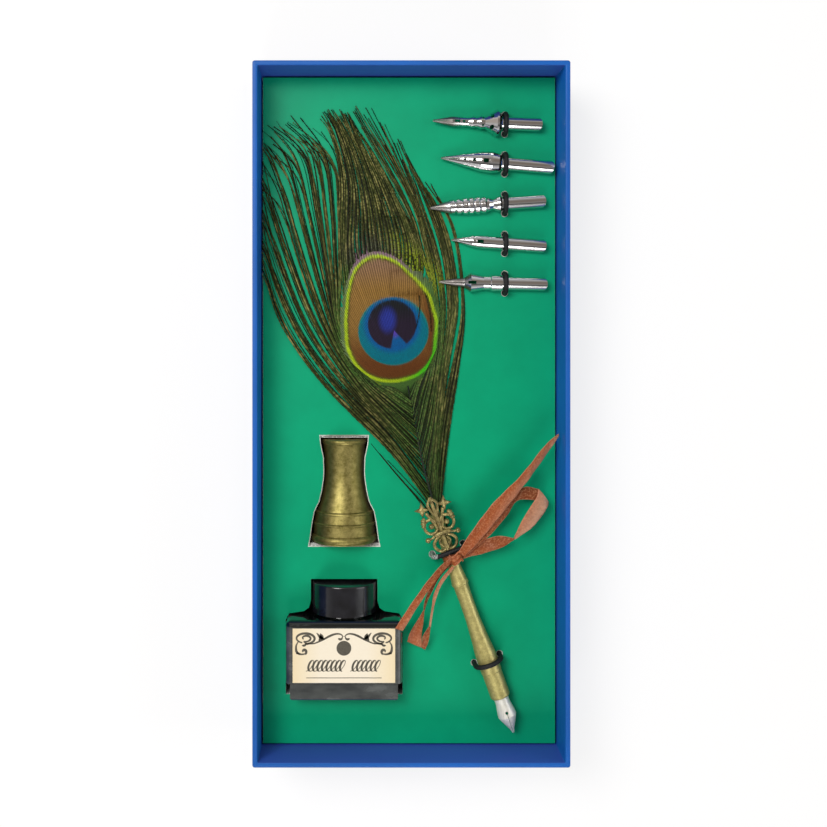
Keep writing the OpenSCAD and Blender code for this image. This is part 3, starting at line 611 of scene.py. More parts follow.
class WRITINGSET_OT_insert(bpy.types.Operator):
    """Finish the green card and the foam under it"""

    bl_idname = "writing_set.insert"
    bl_label = "Insert Card"

    def execute(self, context):
        given = settings(context, "insert")
        card = Finish("green_card", Roughness=0.4, Specular_IOR_Level=0.14)
        grain = card.noise(1900, 4, 0.6)
        mottle = card.noise(55, 4, 0.6)
        face = card.ramp(mottle, [(0.3, shaded(given.card, 0.93)), (0.7, shaded(given.card, 1.07))])
        face = card.mix(card.ramp(grain, [(0.4, 0.0), (0.8, 0.12)]), face, given.card)
        upward = card.ramp(card.facing("Z"), [(0.5, 0.0), (0.9, 1.0)])
        card.colour(card.mix(upward, given.core, face))
        card.rough(grain, 0.36, 0.46)
        card.bump(grain, 0.2, 0.03 * MM)
        dress("insert_card", card)
        self.cut_edges(given)
        foam = Finish("grey_foam", Roughness=0.95)
        pores = foam.pores(1500)
        specks = foam.ramp(foam.noise(2400, 2), [(0.4, shaded(given.foam, 0.45)), (0.6, given.foam)])
        holes = foam.ramp(pores, [(0.1, 0.0), (0.6, 1.0)])
        foam.colour(foam.mix(holes, shaded(given.foam, 1.35), specks))
        foam.bump(pores, 0.8, 0.3 * MM)
        dress("foam_block", foam)
        return {"FINISHED"}

    def cut_edges(self, given):
        """The card's pale core, laid bare round the stand's window and round the cord holes."""
        solid = bmesh.new()
        solid.from_mesh(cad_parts["insert_card"].data)
        bmesh.ops.remove_doubles(solid, verts=solid.verts, dist=0.001 * MM)
        low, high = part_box("insert_card")
        bottle_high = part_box("bottle_glass")[1]
        parts = []
        for edge in solid.edges:
            sides = [f.normal for f in edge.link_faces if abs(f.normal.z) < 0.1]
            tops = [f for f in edge.link_faces if f.normal.z > 0.9]
            middle = (edge.verts[0].co + edge.verts[1].co) / 2
            near_rim = min(middle.x - low.x, high.x - middle.x, middle.y - low.y, high.y - middle.y) < BARE
            by_bottle = (middle.x < bottle_high.x + BOTTLE_BESIDE
                         and middle.y < bottle_high.y + BOTTLE_BEYOND)
            if len(sides) != 1 or len(tops) != 1 or near_rim or by_bottle:
                continue
            a, b = (v.co + Vector((0, 0, 0.01 * MM)) for v in edge.verts)
            reach = sides[0] * BARE - Vector((0, 0, BARE))
            parts.append(([a, b, b + reach, a + reach], [(0, 1, 2, 3)]))
        solid.free()
        verts, faces = join_meshes(parts)
        core = Finish("card_core", Roughness=0.8)
        fibre = core.noise(3000, 3)
        core.colour(core.ramp(fibre, [(0.3, shaded(given.core, 0.62)), (0.6, given.core)]))
        make_piece("card_cut_edge", verts, faces, core.material, "insert", smooth=False)


# Elastic loops

CARD_THICKNESS = 1.2 * MM
STRAND_GAP = 0.1 * MM
# The braid's pitch, the radius of a cord's bends behind the card, and the radius of its knot
BRAID = 1.1 * MM
BEND = 1.2 * MM
KNOT_RADIUS = 1.6 * MM
# Each pen loop's name, its distance back from the grip in mm, its span, and its corners where it has them
PEN_LOOPS = (("lower", 13.4, 9.8 * MM, None), ("upper", 56, 12 * MM, 3 * MM))
# The upper pen loop's left end is worn pale up to this X
WORN_TO = 9.9 * MM


class WRITINGSET_OT_elastics(bpy.types.Operator):
    """Braid the elastic loops that hold the pen and the spare nibs"""

    bl_idname = "writing_set.elastics"
    bl_label = "Elastic Loops"

    def execute(self, context):
        given = settings(context, "elastic")
        cord = Finish("black_elastic", Roughness=0.6, Specular_IOR_Level=0.3)
        uv = cord.add("ShaderNodeUVMap", uv_map="along").outputs[0]
        split = cord.add("ShaderNodeSeparateXYZ", {"Vector": uv})
        along = cord.math("MULTIPLY", split.outputs["X"], 2 * math.pi / BRAID)
        around = cord.math("MULTIPLY", split.outputs["Y"], 8 * math.pi)
        one = cord.math("SINE", cord.math("ADD", along, around))
        two = cord.math("SINE", cord.math("SUBTRACT", along, around))
        weave = cord.math("MULTIPLY_ADD", cord.math("MAXIMUM", one, two), 0.5, 0.5)
        fuzz = cord.noise(4200, 3)
        # Painted shade: the braid's grooves between its strands are darker, in the black cord and in the pale
        # grey end
        black = cord.ramp(weave, [(0.1, shaded(given.colour, 0.4)), (0.9, given.colour)])
        black = cord.mix(fuzz, black, shaded(given.colour, 2))
        worn = cord.math("MULTIPLY", cord.math("LESS_THAN", cord.axis("X"), WORN_TO), 0.8)
        pale = cord.ramp(weave, [(0.1, linear(60, 62, 62)), (0.9, linear(176, 176, 172))])
        cord.colour(cord.mix(worn, black, pale))
        cord.bump(weave, 0.7, 0.12 * MM)
        for i in range(1, 6):
            node = f"nib_loop_{i}"
            low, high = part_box(node)
            span = high.y - low.y - given.cord
            self.loop(node, f"elastic_loop_{i}", given.cord, 0, cord, (low + high) / 2, span)
        for where, spot, span, corner in PEN_LOOPS:
            self.loop("pen_loop_" + where, "elastic_loop_" + where, given.cord, PEN_ANGLE, cord,
                      pen_point(spot, 0, 0), span, corner)
        return {"FINISHED"}

    def loop(self, node, name, cord, turn, finish, centre, span, corner=None):
        """A cord over a nib or the pen, through the card and back to its knot behind the card."""
        r = cord / 2
        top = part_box(node)[1].z - r
        strand = CARD_TOP - CARD_THICKNESS - STRAND_GAP - r
        half = span / 2
        bend = corner or half
        flat = [(half - bend + bend * math.cos(a), top - bend + bend * math.sin(a), r)
                for a in np.radians(np.arange(0, 91, 7.5))]
        flat += [(bend - half + bend * math.cos(a), top - bend + bend * math.sin(a), r)
                 for a in np.radians(np.arange(97.5 if half <= bend else 90, 181, 7.5))]
        flat += [(-half, z, r) for z in np.linspace(top - bend, strand + BEND, 5)[1:-1]]
        flat += [(BEND * math.cos(a) - half + BEND, strand + BEND + BEND * math.sin(a), r)
                 for a in np.radians(np.arange(180, 271, 15))]
        for k in np.linspace(-1, 1, 13)[1:-1]:
            swell = math.cos(k * math.pi / 2) ** 0.8
            growth = (KNOT_RADIUS - r) * swell
            lump = 0.16 * MM * math.sin(k * 9) * swell
            flat.append((k * KNOT_RADIUS * 1.3, strand - growth, r + growth + lump))
        flat += [(BEND * math.cos(a) + half - BEND, strand + BEND + BEND * math.sin(a), r)
                 for a in np.radians(np.arange(270, 361, 15))]
        flat += [(half, z, r) for z in np.linspace(strand + BEND, top - bend, 5)[1:-1]]
        across = Vector((-math.sin(turn), math.cos(turn), 0))
        path = [Vector((centre.x, centre.y, z)) + across * y for y, z, _ in flat]
        verts, faces, uvs = tube_mesh(path, [p[2] for p in flat], 14, closed=True,
                                      up=(math.cos(turn), math.sin(turn), 0))
        piece = make_piece(name, verts, faces, finish.material, "insert")
        add_uv(piece, uvs)
        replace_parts(piece, node)


# Spare nibs

# The spare nibs' loops lie at this X, and each nib turns matt so far from there towards its tip, in mm
NIB_LOOPS = 35
MATT_FROM = (17.2, 21.0, 20.6, 16.0, 14.0)
FADE = 2 * MM


class WRITINGSET_OT_nibs(bpy.types.Operator):
    """Finish the five spare nibs in plated steel"""

    bl_idname = "writing_set.nibs"
    bl_label = "Spare Nibs"

    def execute(self, context):
        given = settings(context, "nibs")
        for node, matt_from in zip(NIBS, MATT_FROM):
            finish = Finish("steel_" + node, Metallic=1.0, Roughness=0.18)
            self.steel(finish, given, (NIB_LOOPS - matt_from) * MM)
            dress(node, finish)
        return {"FINISHED"}

    def steel(self, finish, given, matt_x):
        """Bright steel that turns matt towards the tip, with a brushed grain along the nib."""
        bright = finish.from_to(finish.axis("X"), matt_x - FADE, matt_x + FADE)
        grain = finish.noise(1400, 3, stretch=(0.12, 1, 1))
        worn = finish.ramp(grain, [(0.3, shaded(given.blade, 0.72)), (0.7, given.blade)])
        finish.colour(finish.mix(bright, worn, given.steel))
        level = finish.math("MULTIPLY_ADD", bright, -0.26, 0.38)
        finish.links.new(finish.math("ADD", level, finish.math("MULTIPLY", grain, 0.06)),
                         finish.shader.inputs["Roughness"])
        finish.bump(grain, 0.06, 0.02 * MM)


# Pen stand


def old_metal(name, metal, patina, coarse, roughness, metallic, painted_flank_shade=0.0):
    """Worn yellow metal: dark patina in cloudy specks, painted shade on its flanks, brighter where it is
    rubbed.
    """
    finish = Finish(name, Metallic=metallic)
    specks = finish.noise(coarse * 6, 4, 0.65)
    clouds = finish.noise(coarse, 4, 0.6)
    shade = finish.ramp(clouds, [(0.25, patina), (0.62, metal), (0.85, shaded(metal, 1.18))])
    dark = shaded(patina, 0.55)
    worn = finish.mix(finish.ramp(specks, [(0.52, 0.0), (0.68, 0.75)]), shade, dark)
    if painted_flank_shade:
        # Painted shade: the flanks that face sideways are darkened, standing in for the dark that the metal
        # reflects there
        flanks = finish.ramp(finish.math("ABSOLUTE", finish.facing("X")), [(0.35, 0.0), (0.85, painted_flank_shade)])
        worn = finish.mix(flanks, worn, dark)
    finish.colour(worn)
    finish.rough(specks, *roughness)
    finish.bump(specks, 0.12, 0.05 * MM)
    return finish


class WRITINGSET_OT_stand(bpy.types.Operator):
    """Finish the turned pen stand in old brass"""

    bl_idname = "writing_set.stand"
    bl_label = "Pen Stand"

    def execute(self, context):
        given = settings(context, "stand")
        # The stand's flanks get strong painted shade
        dress("pen_stand", old_metal("old_brass", given.brass, given.patina, coarse=520,
                                     roughness=(0.42, 0.54), metallic=0.9, painted_flank_shade=0.8))
        return {"FINISHED"}


# Ink bottle

# The label's print, in mm from the middle of the label's top edge
INK_LIFT = 0.02 * MM
BLOT_RADIUS, BLOT_Y, BLOT_POINTS = 2.65, -7.0, 48
RULE_HALF, RULE_Y, RULE_WIDTH = 13.5, -17.6, 0.25
# Where each row of practice loops starts, and how many loops it has
LOOP_ROWS = ((-13.6, 8), (2.2, 6))
LOOP_PITCH, LOOP_SWING, LOOP_LEAN, LOOP_FOOT, LOOP_HEIGHT = 1.62, 1.05, 0.42, -15.2, 3.9
SPIRAL_STEPS = 28


def spiral(x, y, start, end, r0, r1):
    """Places along a spiral round x and y, from one angle in degrees and radius to another."""
    found = []
    for t in np.arange(SPIRAL_STEPS + 1) / SPIRAL_STEPS:
        a, r = math.radians(mixed(start, end, t)), mixed(r0, r1, t)
        found.append((x + r * math.cos(a), y + r * math.sin(a)))
    return found


def flattened(points, share, level):
    """Places drawn in towards one level."""
    return [(x, level + (y - level) * share) for x, y in points]


class WRITINGSET_OT_bottle(bpy.types.Operator):
    """Finish the ink bottle, its cap and its label, and print the label"""

    bl_idname = "writing_set.bottle"
    bl_label = "Ink Bottle"

    def execute(self, context):
        given = settings(context, "bottle")
        dress("bottle_glass", self.thick_glass())
        ink = Finish("black_ink", Roughness=0.08)
        ink.colour(ink.ramp(ink.noise(120, 2), [(0.3, linear(8, 8, 12)), (0.7, linear(16, 16, 22))]))
        dress("ink", ink)
        cap = Finish("black_plastic", Roughness=0.2, Coat_Weight=0.5, Coat_Roughness=0.12)
        moulding = cap.noise(220, 3)
        cap.colour(cap.ramp(moulding, [(0.3, linear(10, 10, 14)), (0.7, linear(22, 22, 28))]))
        cap.rough(moulding, 0.14, 0.3)
        cap.bump(cap.noise(260, 3, stretch=(1, 2.4, 2.4)), 0.25, 0.25 * MM)
        dress("bottle_cap", cap)
        disc = Finish("liner_board", Roughness=0.8)
        fibre = disc.noise(1200, 3)
        disc.colour(disc.ramp(fibre, [(0.3, linear(190, 186, 176)), (0.7, linear(222, 218, 208))]))
        dress("cap_liner", disc)
        dress("bottle_label", self.label_paper(given))
        self.print_label(given)
        return {"FINISHED"}

    def thick_glass(self):
        """Clear glass that looks black over the ink, and grey where its walls are thick."""
        glass = Finish("clear_glass", Roughness=0.05, IOR=1.5, Transmission_Weight=0.4, Coat_Weight=1.0,
                       Coat_Roughness=0.03)
        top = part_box("bottle_label")[1].y
        over_ink = glass.from_to(glass.axis("Y"), top - 0.2 * MM, top + 0.6 * MM)
        streaks = glass.noise(210, 3, 0.55, stretch=(0.5, 1.3, 1))
        grey = glass.ramp(streaks, [(0.3, linear(66, 70, 70)), (0.55, linear(92, 96, 94)),
                                    (0.75, linear(124, 128, 126))])
        glass.colour(glass.mix(over_ink, grey, linear(12, 20, 19)))
        glass.bump(glass.noise(160, 2), 0.12, 0.2 * MM)
        return glass

    def label_paper(self, given):
        """Cream paper that has gone tan towards its left and right edges."""
        low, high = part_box("bottle_label")
        paper = Finish("cream_label", Roughness=0.6, Specular_IOR_Level=0.12)
        across = paper.axis("X")
        middle, half = (low.x + high.x) / 2, (high.x - low.x) / 2
        away = paper.math("ABSOLUTE", paper.math("DIVIDE", paper.math("SUBTRACT", across, middle), half))
        tan = linear(222, 205, 168)
        tone = paper.ramp(away, [(0.45, given.label), (1.0, tan)])
        fibre = paper.noise(1500, 4)
        paper.colour(paper.mix(paper.ramp(fibre, [(0.4, 0.0), (0.8, 0.14)]), tone, linear(206, 190, 160)))
        paper.bump(fibre, 0.15, 0.02 * MM)
        return paper

    def print_label(self, given):
        """Mirrored scrolls, a round blot, two rows of practice loops and a rule, printed on the label."""
        low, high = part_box("bottle_label")
        middle, wide = (low.x + high.x) / 2, given.line / MM
        stem = [(14.3, -5.1), (11.2, -5.4), (8, -4.2), (5, -2.6), (2.9, -1.9), (1.2, -2), (0.2, -2.9)]
        tail = [(16.3, -4.6), (17.1, -6.2), (16.9, -8.3), (15.6, -9.1), (14, -9.1)]
        strokes = [
            (smooth_path(stem, 8), (0.4, 1.3, 0.5)),
            (flattened(spiral(13.9, -3.5, -92, -430, 3.6, 2.9), 0.56, -3.5), (1.2, 1.4, 0.8)),
            (flattened(spiral(13.7, -3.4, -70, -400, 2.2, 0.9), 0.6, -3.4), (0.9, 1.3, 0.7)),
            (spiral(1.5, -3.2, 160, 330, 1.0, 0.35), (0.5, 1.4, 1.0)),
            (smooth_path([(8.4, -1.7), (8.1, -3.0), (9, -4.3)], 8), (0.3, 3.0, 0.6)),
            (smooth_path([(9.8, -1.5), (8.4, -3.0), (7.0, -3.8)], 8), (0.3, 2.0, 0.6)),
            (spiral(14.6, -5.4, 150, 300, 1.1, 0.5), (0.5, 1.3, 1.0)),
            (smooth_path(tail, 8), (0.5, 1.5, 0.8)),
            (spiral(14.3, -8.2, -110, -380, 1.0, 0.3), (1.2, 1.7, 0.9)),
            (smooth_path([(17, -8.7), (16.4, -8.9), (15.8, -9.2)], 6), (1.4, 0.8, 0.3)),
        ]

        def placed(points, side=1):
            return [(middle + side * x * MM, high.y + y * MM) for x, y in points]

        parts = [self.inked(placed(points, side), [w * wide for w in widths], high.z)
                 for side in (-1, 1) for points, widths in strokes]
        turns = np.linspace(0, 2 * math.pi, BLOT_POINTS, endpoint=False)
        blot = placed([(BLOT_RADIUS * math.cos(a), BLOT_Y + BLOT_RADIUS * math.sin(a)) for a in turns])
        parts.append(([(x, y, high.z + INK_LIFT) for x, y in blot], [tuple(range(BLOT_POINTS))]))
        for row in self.practice_loops():
            parts.append(self.inked(placed(row), [0.4 * wide, 1.2 * wide], high.z, slant=True))
        rule = placed([(-RULE_HALF, RULE_Y), (RULE_HALF, RULE_Y)])
        parts.append(self.inked(rule, [RULE_WIDTH] * 3, high.z))
        verts, faces = join_meshes(parts)
        printed = Finish("printed_ink", Roughness=0.6)
        worn = printed.noise(2600, 3)
        printed.colour(printed.ramp(worn, [(0.3, given.print_ink), (0.75, shaded(given.print_ink, 1.9))]))
        make_piece("label_print", verts, faces, printed.material, "bottle", smooth=False)

    def practice_loops(self):
        """Two rows of even slanted loops, as a pen is tried out."""
        rows = []
        for start, count in LOOP_ROWS:
            turns = np.linspace(0, 2 * math.pi * count, 40 * count)
            y = LOOP_HEIGHT * (1 - np.cos(turns)) / 2
            x = start + LOOP_PITCH * turns / (2 * math.pi) + LOOP_SWING * np.sin(turns) + LOOP_LEAN * y
            rows.append(list(zip(x, LOOP_FOOT + y)))
        return rows

    def inked(self, points, widths, height, slant=False):
        """A flat line, with its widths in mm at its start, middle and end, or upwards and downwards."""
        p = np.array(points, float)
        along = directions(p)
        if slant:
            w = mixed(*widths, np.clip(-along[:, 1], 0, 1))
        else:
            w = np.interp(np.linspace(0, 1, len(p)), (0, 0.5, 1), widths)
        beside = np.stack([-along[:, 1], along[:, 0]], 1) * (w * MM / 2)[:, None]
        verts = [(*q, height + INK_LIFT) for pair in zip(p + beside, p - beside) for q in pair]
        faces = [(2 * i, 2 * i + 1, 2 * i + 3, 2 * i + 2) for i in range(len(p) - 1)]
        return verts, faces


# Pen

# The ornament's foot is so far back from the grip, it is so long, and so high above the pen's axis, in mm
FOOT = 57.15
ORNAMENT_LENGTH = 20
ORNAMENT_HEIGHT = 2.9
# A star's inner corners as a share of its reach, and its turn in degrees
STAR_WAIST = 0.42
STAR_TURN = 12


def pen_point(s, y, z):
    """A place given by its distance back from the grip, sideways and above the pen's axis, in mm."""
    turn = Matrix.Rotation(PEN_ANGLE, 3, "Z")
    return PEN_FRONT + turn @ Vector((-s * MM, y * MM, z * MM))


class WRITINGSET_OT_pen(bpy.types.Operator):
    """Finish the pen's barrel and nib, and form its filigree ornament"""

    bl_idname = "writing_set.pen"
    bl_label = "Pen"

    def execute(self, context):
        given = settings(context, "pen")
        patina = linear(154, 143, 84)
        # The barrel's flanks get a lighter painted shade
        gold = old_metal("antique_gold", given.gold, patina, coarse=620, roughness=(0.36, 0.5),
                         metallic=0.55, painted_flank_shade=0.4)
        dress("pen_barrel", gold)
        dress("nib_grip", gold)
        nib = Finish("satin_steel", Metallic=0.4)
        grain = nib.noise(1600, 3, stretch=(1, 0.2, 1))
        nib.colour(nib.ramp(grain, [(0.3, linear(212, 210, 200)), (0.7, linear(236, 234, 224))]))
        nib.rough(grain, 0.36, 0.5)
        dress("pen_nib", nib)
        self.ornament(given)
        return {"FINISHED"}

    def ornament(self, given):
        """Scrolls, stars and a heart-shaped foot, bent from wires over the pen's neck."""
        foot, z = FOOT, ORNAMENT_HEIGHT
        top = foot + ORNAMENT_LENGTH
        wire = given.wire / MM / 2
        cast = old_metal("cast_gold", linear(172, 156, 100), linear(58, 50, 26), coarse=700,
                         roughness=(0.34, 0.5), metallic=0.6)
        parts = []

        def bar(points, r=wire, steps=6):
            path = smooth_path(points, steps)
            swell = np.interp(np.linspace(0, 1, len(path)), np.linspace(0, 1, np.size(r)), np.atleast_1d(r))
            verts, faces, _ = tube_mesh([pen_point(s, y, h) for s, y, h in path], swell * MM, 10)
            parts.append((verts, faces))

        def ball(s, y, h, r):
            slices = np.linspace(-1, 1, 9)
            path = [pen_point(s + r * t, y, h) for t in slices]
            verts, faces, _ = tube_mesh(path, np.maximum(np.sqrt(1 - slices ** 2), 0.05) * r * MM, 12)
            parts.append((verts, faces))

        bar([(foot, 0, z), (foot + 6, 0, z + 0.3), (foot + 13, 0, z + 0.3), (top - 2.5, 0, z), (top, 0, z)],
            (0.9, 0.6, 0.85, 0.6, 0.5))
        bar([(top - 13.6, -2.9, z + 0.6), (top - 13.3, 0, z + 1), (top - 13.6, 2.9, z + 0.6)], 0.72)
        for side in (-1, 1):
            bar([(top - 0.2, 0, z), (top - 1.4, side * 0.9, z), (top - 2.6, side * 1.7, z),
                 (top - 4.6, side * 1.3, z), (top - 7, side * 0.5, z)], wire * 1.25)
            parts.append(self.star(top - 3.6, side * 4.2, z, 2.9))
            bar([(top - 5, side * 3.2, z), (top - 8, side * 2, z + 0.2), (top - 11.5, side * 0.9, z + 0.3)],
                wire * 1.35)
            scroll = [(top - 10.2 - 2.6 * math.cos(a), side * (3 + 2.5 * math.sin(a)), z + 0.2)
                      for a in np.radians([-60, -20, 20, 60, 100, 140, 180, 220, 250])]
            bar(scroll, wire * 1.25)
            bulb = [(top - 9.8 + k * 0.5, side * (5.5 - 0.02 * k * k), z + 0.45) for k in range(8)]
            bar(bulb, (0.45, 1.0, 0.72, 1.12, 0.78, 1.05, 0.7, 0.4), 4)
            ball(top - 10.2, side * 2.9, z, 1.0)
            bar([(top - 13.2, side * 2.4, z + 0.3), (top - 14.2, side * 3.8, z + 0.3),
                 (top - 14.4, side * 5.4, z + 0.3)], wire * 1.1)
            ball(top - 14.5, side * 5.7, z + 0.3, 0.95)
            heart = [(foot + 0.4, side * 0.4, z), (foot + 0.1, side * 2.1, z), (foot + 1.3, side * 3.7, z),
                     (foot + 3.3, side * 4.1, z), (foot + 5, side * 2.7, z + 0.1),
                     (foot + 6, side * 1, z + 0.2)]
            bar(heart, wire * 1.35)
            bar([(foot + 0.9, side * 0.3, z), (foot + 3, side * 1.9, z), (foot + 4.6, side * 1.3, z)], wire)
        verts, faces = join_meshes(parts)
        piece = make_piece("filigree", verts, faces, cast.material, "pen")
        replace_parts(piece, "ornament")

    def star(self, s, y, z, reach):
        """A raised four-pointed star."""
        outline = []
        for i in range(8):
            r = reach * (STAR_WAIST if i % 2 else 1)
            a = math.radians(i * 45 + STAR_TURN)
            outline.append((s + r * math.cos(a), y + r * math.sin(a)))
        verts = [pen_point(*p, z - 0.5) for p in outline]
        verts += [pen_point(mixed(s, p[0], 0.9), mixed(y, p[1], 0.9), z + 0.2) for p in outline]
        verts += [pen_point(s, y, z + 0.75), pen_point(s, y, z - 0.5)]
        faces = []
        for i in range(8):
            j = (i + 1) % 8
            faces += [(i, j, 8 + j, 8 + i), (8 + i, 8 + j, 16), (j, i, 17)]
        return verts, faces


# Ribbon

# Both edges of each stretch of the ribbon, in mm, and the level of painted light and shade on the satin at
# its start and end: about 0.9 gives its own colour, less is painted shade, more is painted light
STRANDS = {
    "ribbon_tail_up": (
        ((17, -50.1, 9.4), (21.7, -42.7, 9.9), (29.6, -32.3, 9.9), (39.6, -22.4, 9.6), (48.1, -12, 9),
         (53, -7.6, 9.4)),
        ((19.3, -51.6, 9), (25.1, -45.6, 9), (33.8, -35.1, 8.6), (41.8, -25.1, 8), (49.7, -14.1, 7.8),
         (53.4, -8.2, 9)),
        0.8, 1.3),
    "ribbon_loop_right_under": (
        ((18.1, -50.9, 8.4), (25.5, -43, 8.2), (32.5, -34.9, 7.4), (38.1, -29.4, 6.4), (41.7, -27.1, 5.6),
         (46.6, -28.1, 5)),
        ((19.7, -51.8, 8), (27.9, -45, 7.8), (35.1, -37.1, 6.6), (38.4, -32.4, 5.6), (43.3, -31.9, 5),
         (50.3, -33, 4.6)),
        0.5, 0.55),
    "ribbon_loop_right_over": (
        ((46.6, -28, 5.1), (45.4, -31.5, 5.8), (41.3, -37.6, 6.5), (37.4, -45.3, 6.6)),
        ((50.4, -32.8, 4.8), (49.4, -35.1, 5.5), (44.7, -41.2, 6.1), (37.9, -46.1, 6.2)),
        1.7, 1.35),
    "ribbon_loop_right_back": (
        ((37.7, -45.6, 6.5), (33, -44.7, 6.9), (28.5, -45.3, 7.2), (24, -47.4, 7.2), (18.8, -51.3, 7.3)),
        ((37.7, -46.1, 6.1), (33.7, -48.7, 5.9), (27.6, -50.8, 6.2), (22, -52, 6.8), (17.6, -53.4, 7.1)),
        0.75, 0.6),
    "ribbon_tail_down": (
        ((15.4, -51.5, 9), (10.8, -54.9, 9.4), (5.8, -60.6, 9.9), (-0.2, -68.9, 10.3), (-5.5, -77, 10.4)),
        ((16, -52.6, 8.6), (12.2, -56.5, 8.4), (7.7, -62.2, 8.8), (2.9, -69, 9.4), (-2.8, -78.1, 9.8)),
        0.6, 1.1),
    "ribbon_loop_down_left": (
        ((14.6, -53.4, 7.2), (9.8, -58, 7), (6.8, -64.1, 6.6), (5.2, -68.7, 6.4), (5, -71.7, 6.2)),
        ((15.3, -54.5, 6.8), (11, -59.3, 6.2), (7.8, -65.4, 5.7), (6, -69.6, 5.4), (5.2, -72.3, 5.3)),
        0.4, 0.55),
    "ribbon_loop_down_fold": (
        ((5, -71.4, 6.2), (2.5, -76, 5.2), (0.1, -80.3, 4.2), (-0.8, -83.9, 3.2)),
        ((5.2, -72.2, 5.4), (4.9, -76.7, 4.4), (4.4, -81.6, 3.6), (4.7, -86.1, 3)),
        0.8, 1.0),
    "ribbon_loop_down_turn": (
        ((7.1, -77.5, 5), (4.9, -81.2, 4.3), (4.6, -83.4, 3.8), (4.5, -86.1, 3.2)),
        ((7.5, -78.2, 4.6), (7.2, -81.4, 3.9), (6.6, -84.5, 3.4), (5.6, -86.8, 3)),
        0.6, 0.75),
    "ribbon_loop_down_right": (
        ((15.1, -55.2, 7.8), (11, -60.4, 7.2), (8.7, -65.6, 6.5), (7.8, -71.3, 5.8), (6.9, -77.7, 5.2)),
        ((16, -56, 7.4), (12.1, -61.2, 6.6), (9.8, -66.4, 5.8), (8.5, -71.9, 5.2), (7.6, -78.2, 4.7)),
        1.2, 1.6),
}
# The width that the strands' edges are given for
USUAL_WIDTH = 4 * MM
SATIN_THICKNESS = 0.14 * MM
STRAND_COLUMNS = 11
# The knot's distance back from the grip and the neck's radius there, in mm
KNOT_PLACE = 53.2
NECK = 2.45
KNOT_THICKNESS = 0.3 * MM
KNOT_COLUMNS = 9
# Spacing of the satin's cross threads, and how fast its twill turns across it and along it, in radians
THREADS = 0.34 * MM
TWILL_ACROSS, TWILL_ALONG = 60, 9000


def thicken(piece, thickness, offset):
    """Gives a sheet its thickness, to both sides with an offset of 0 and outwards with 1."""
    solid = piece.modifiers.new("thickness", "SOLIDIFY")
    solid.thickness = thickness
    solid.offset = offset


def strip_corners(start, end, column, columns):
    """The UVs of one face of a strip, between two lengths and from one column to the next."""
    low, high = column / (columns - 1), (column + 1) / (columns - 1)
    return [(start, low), (start, high), (end, high), (end, low)]


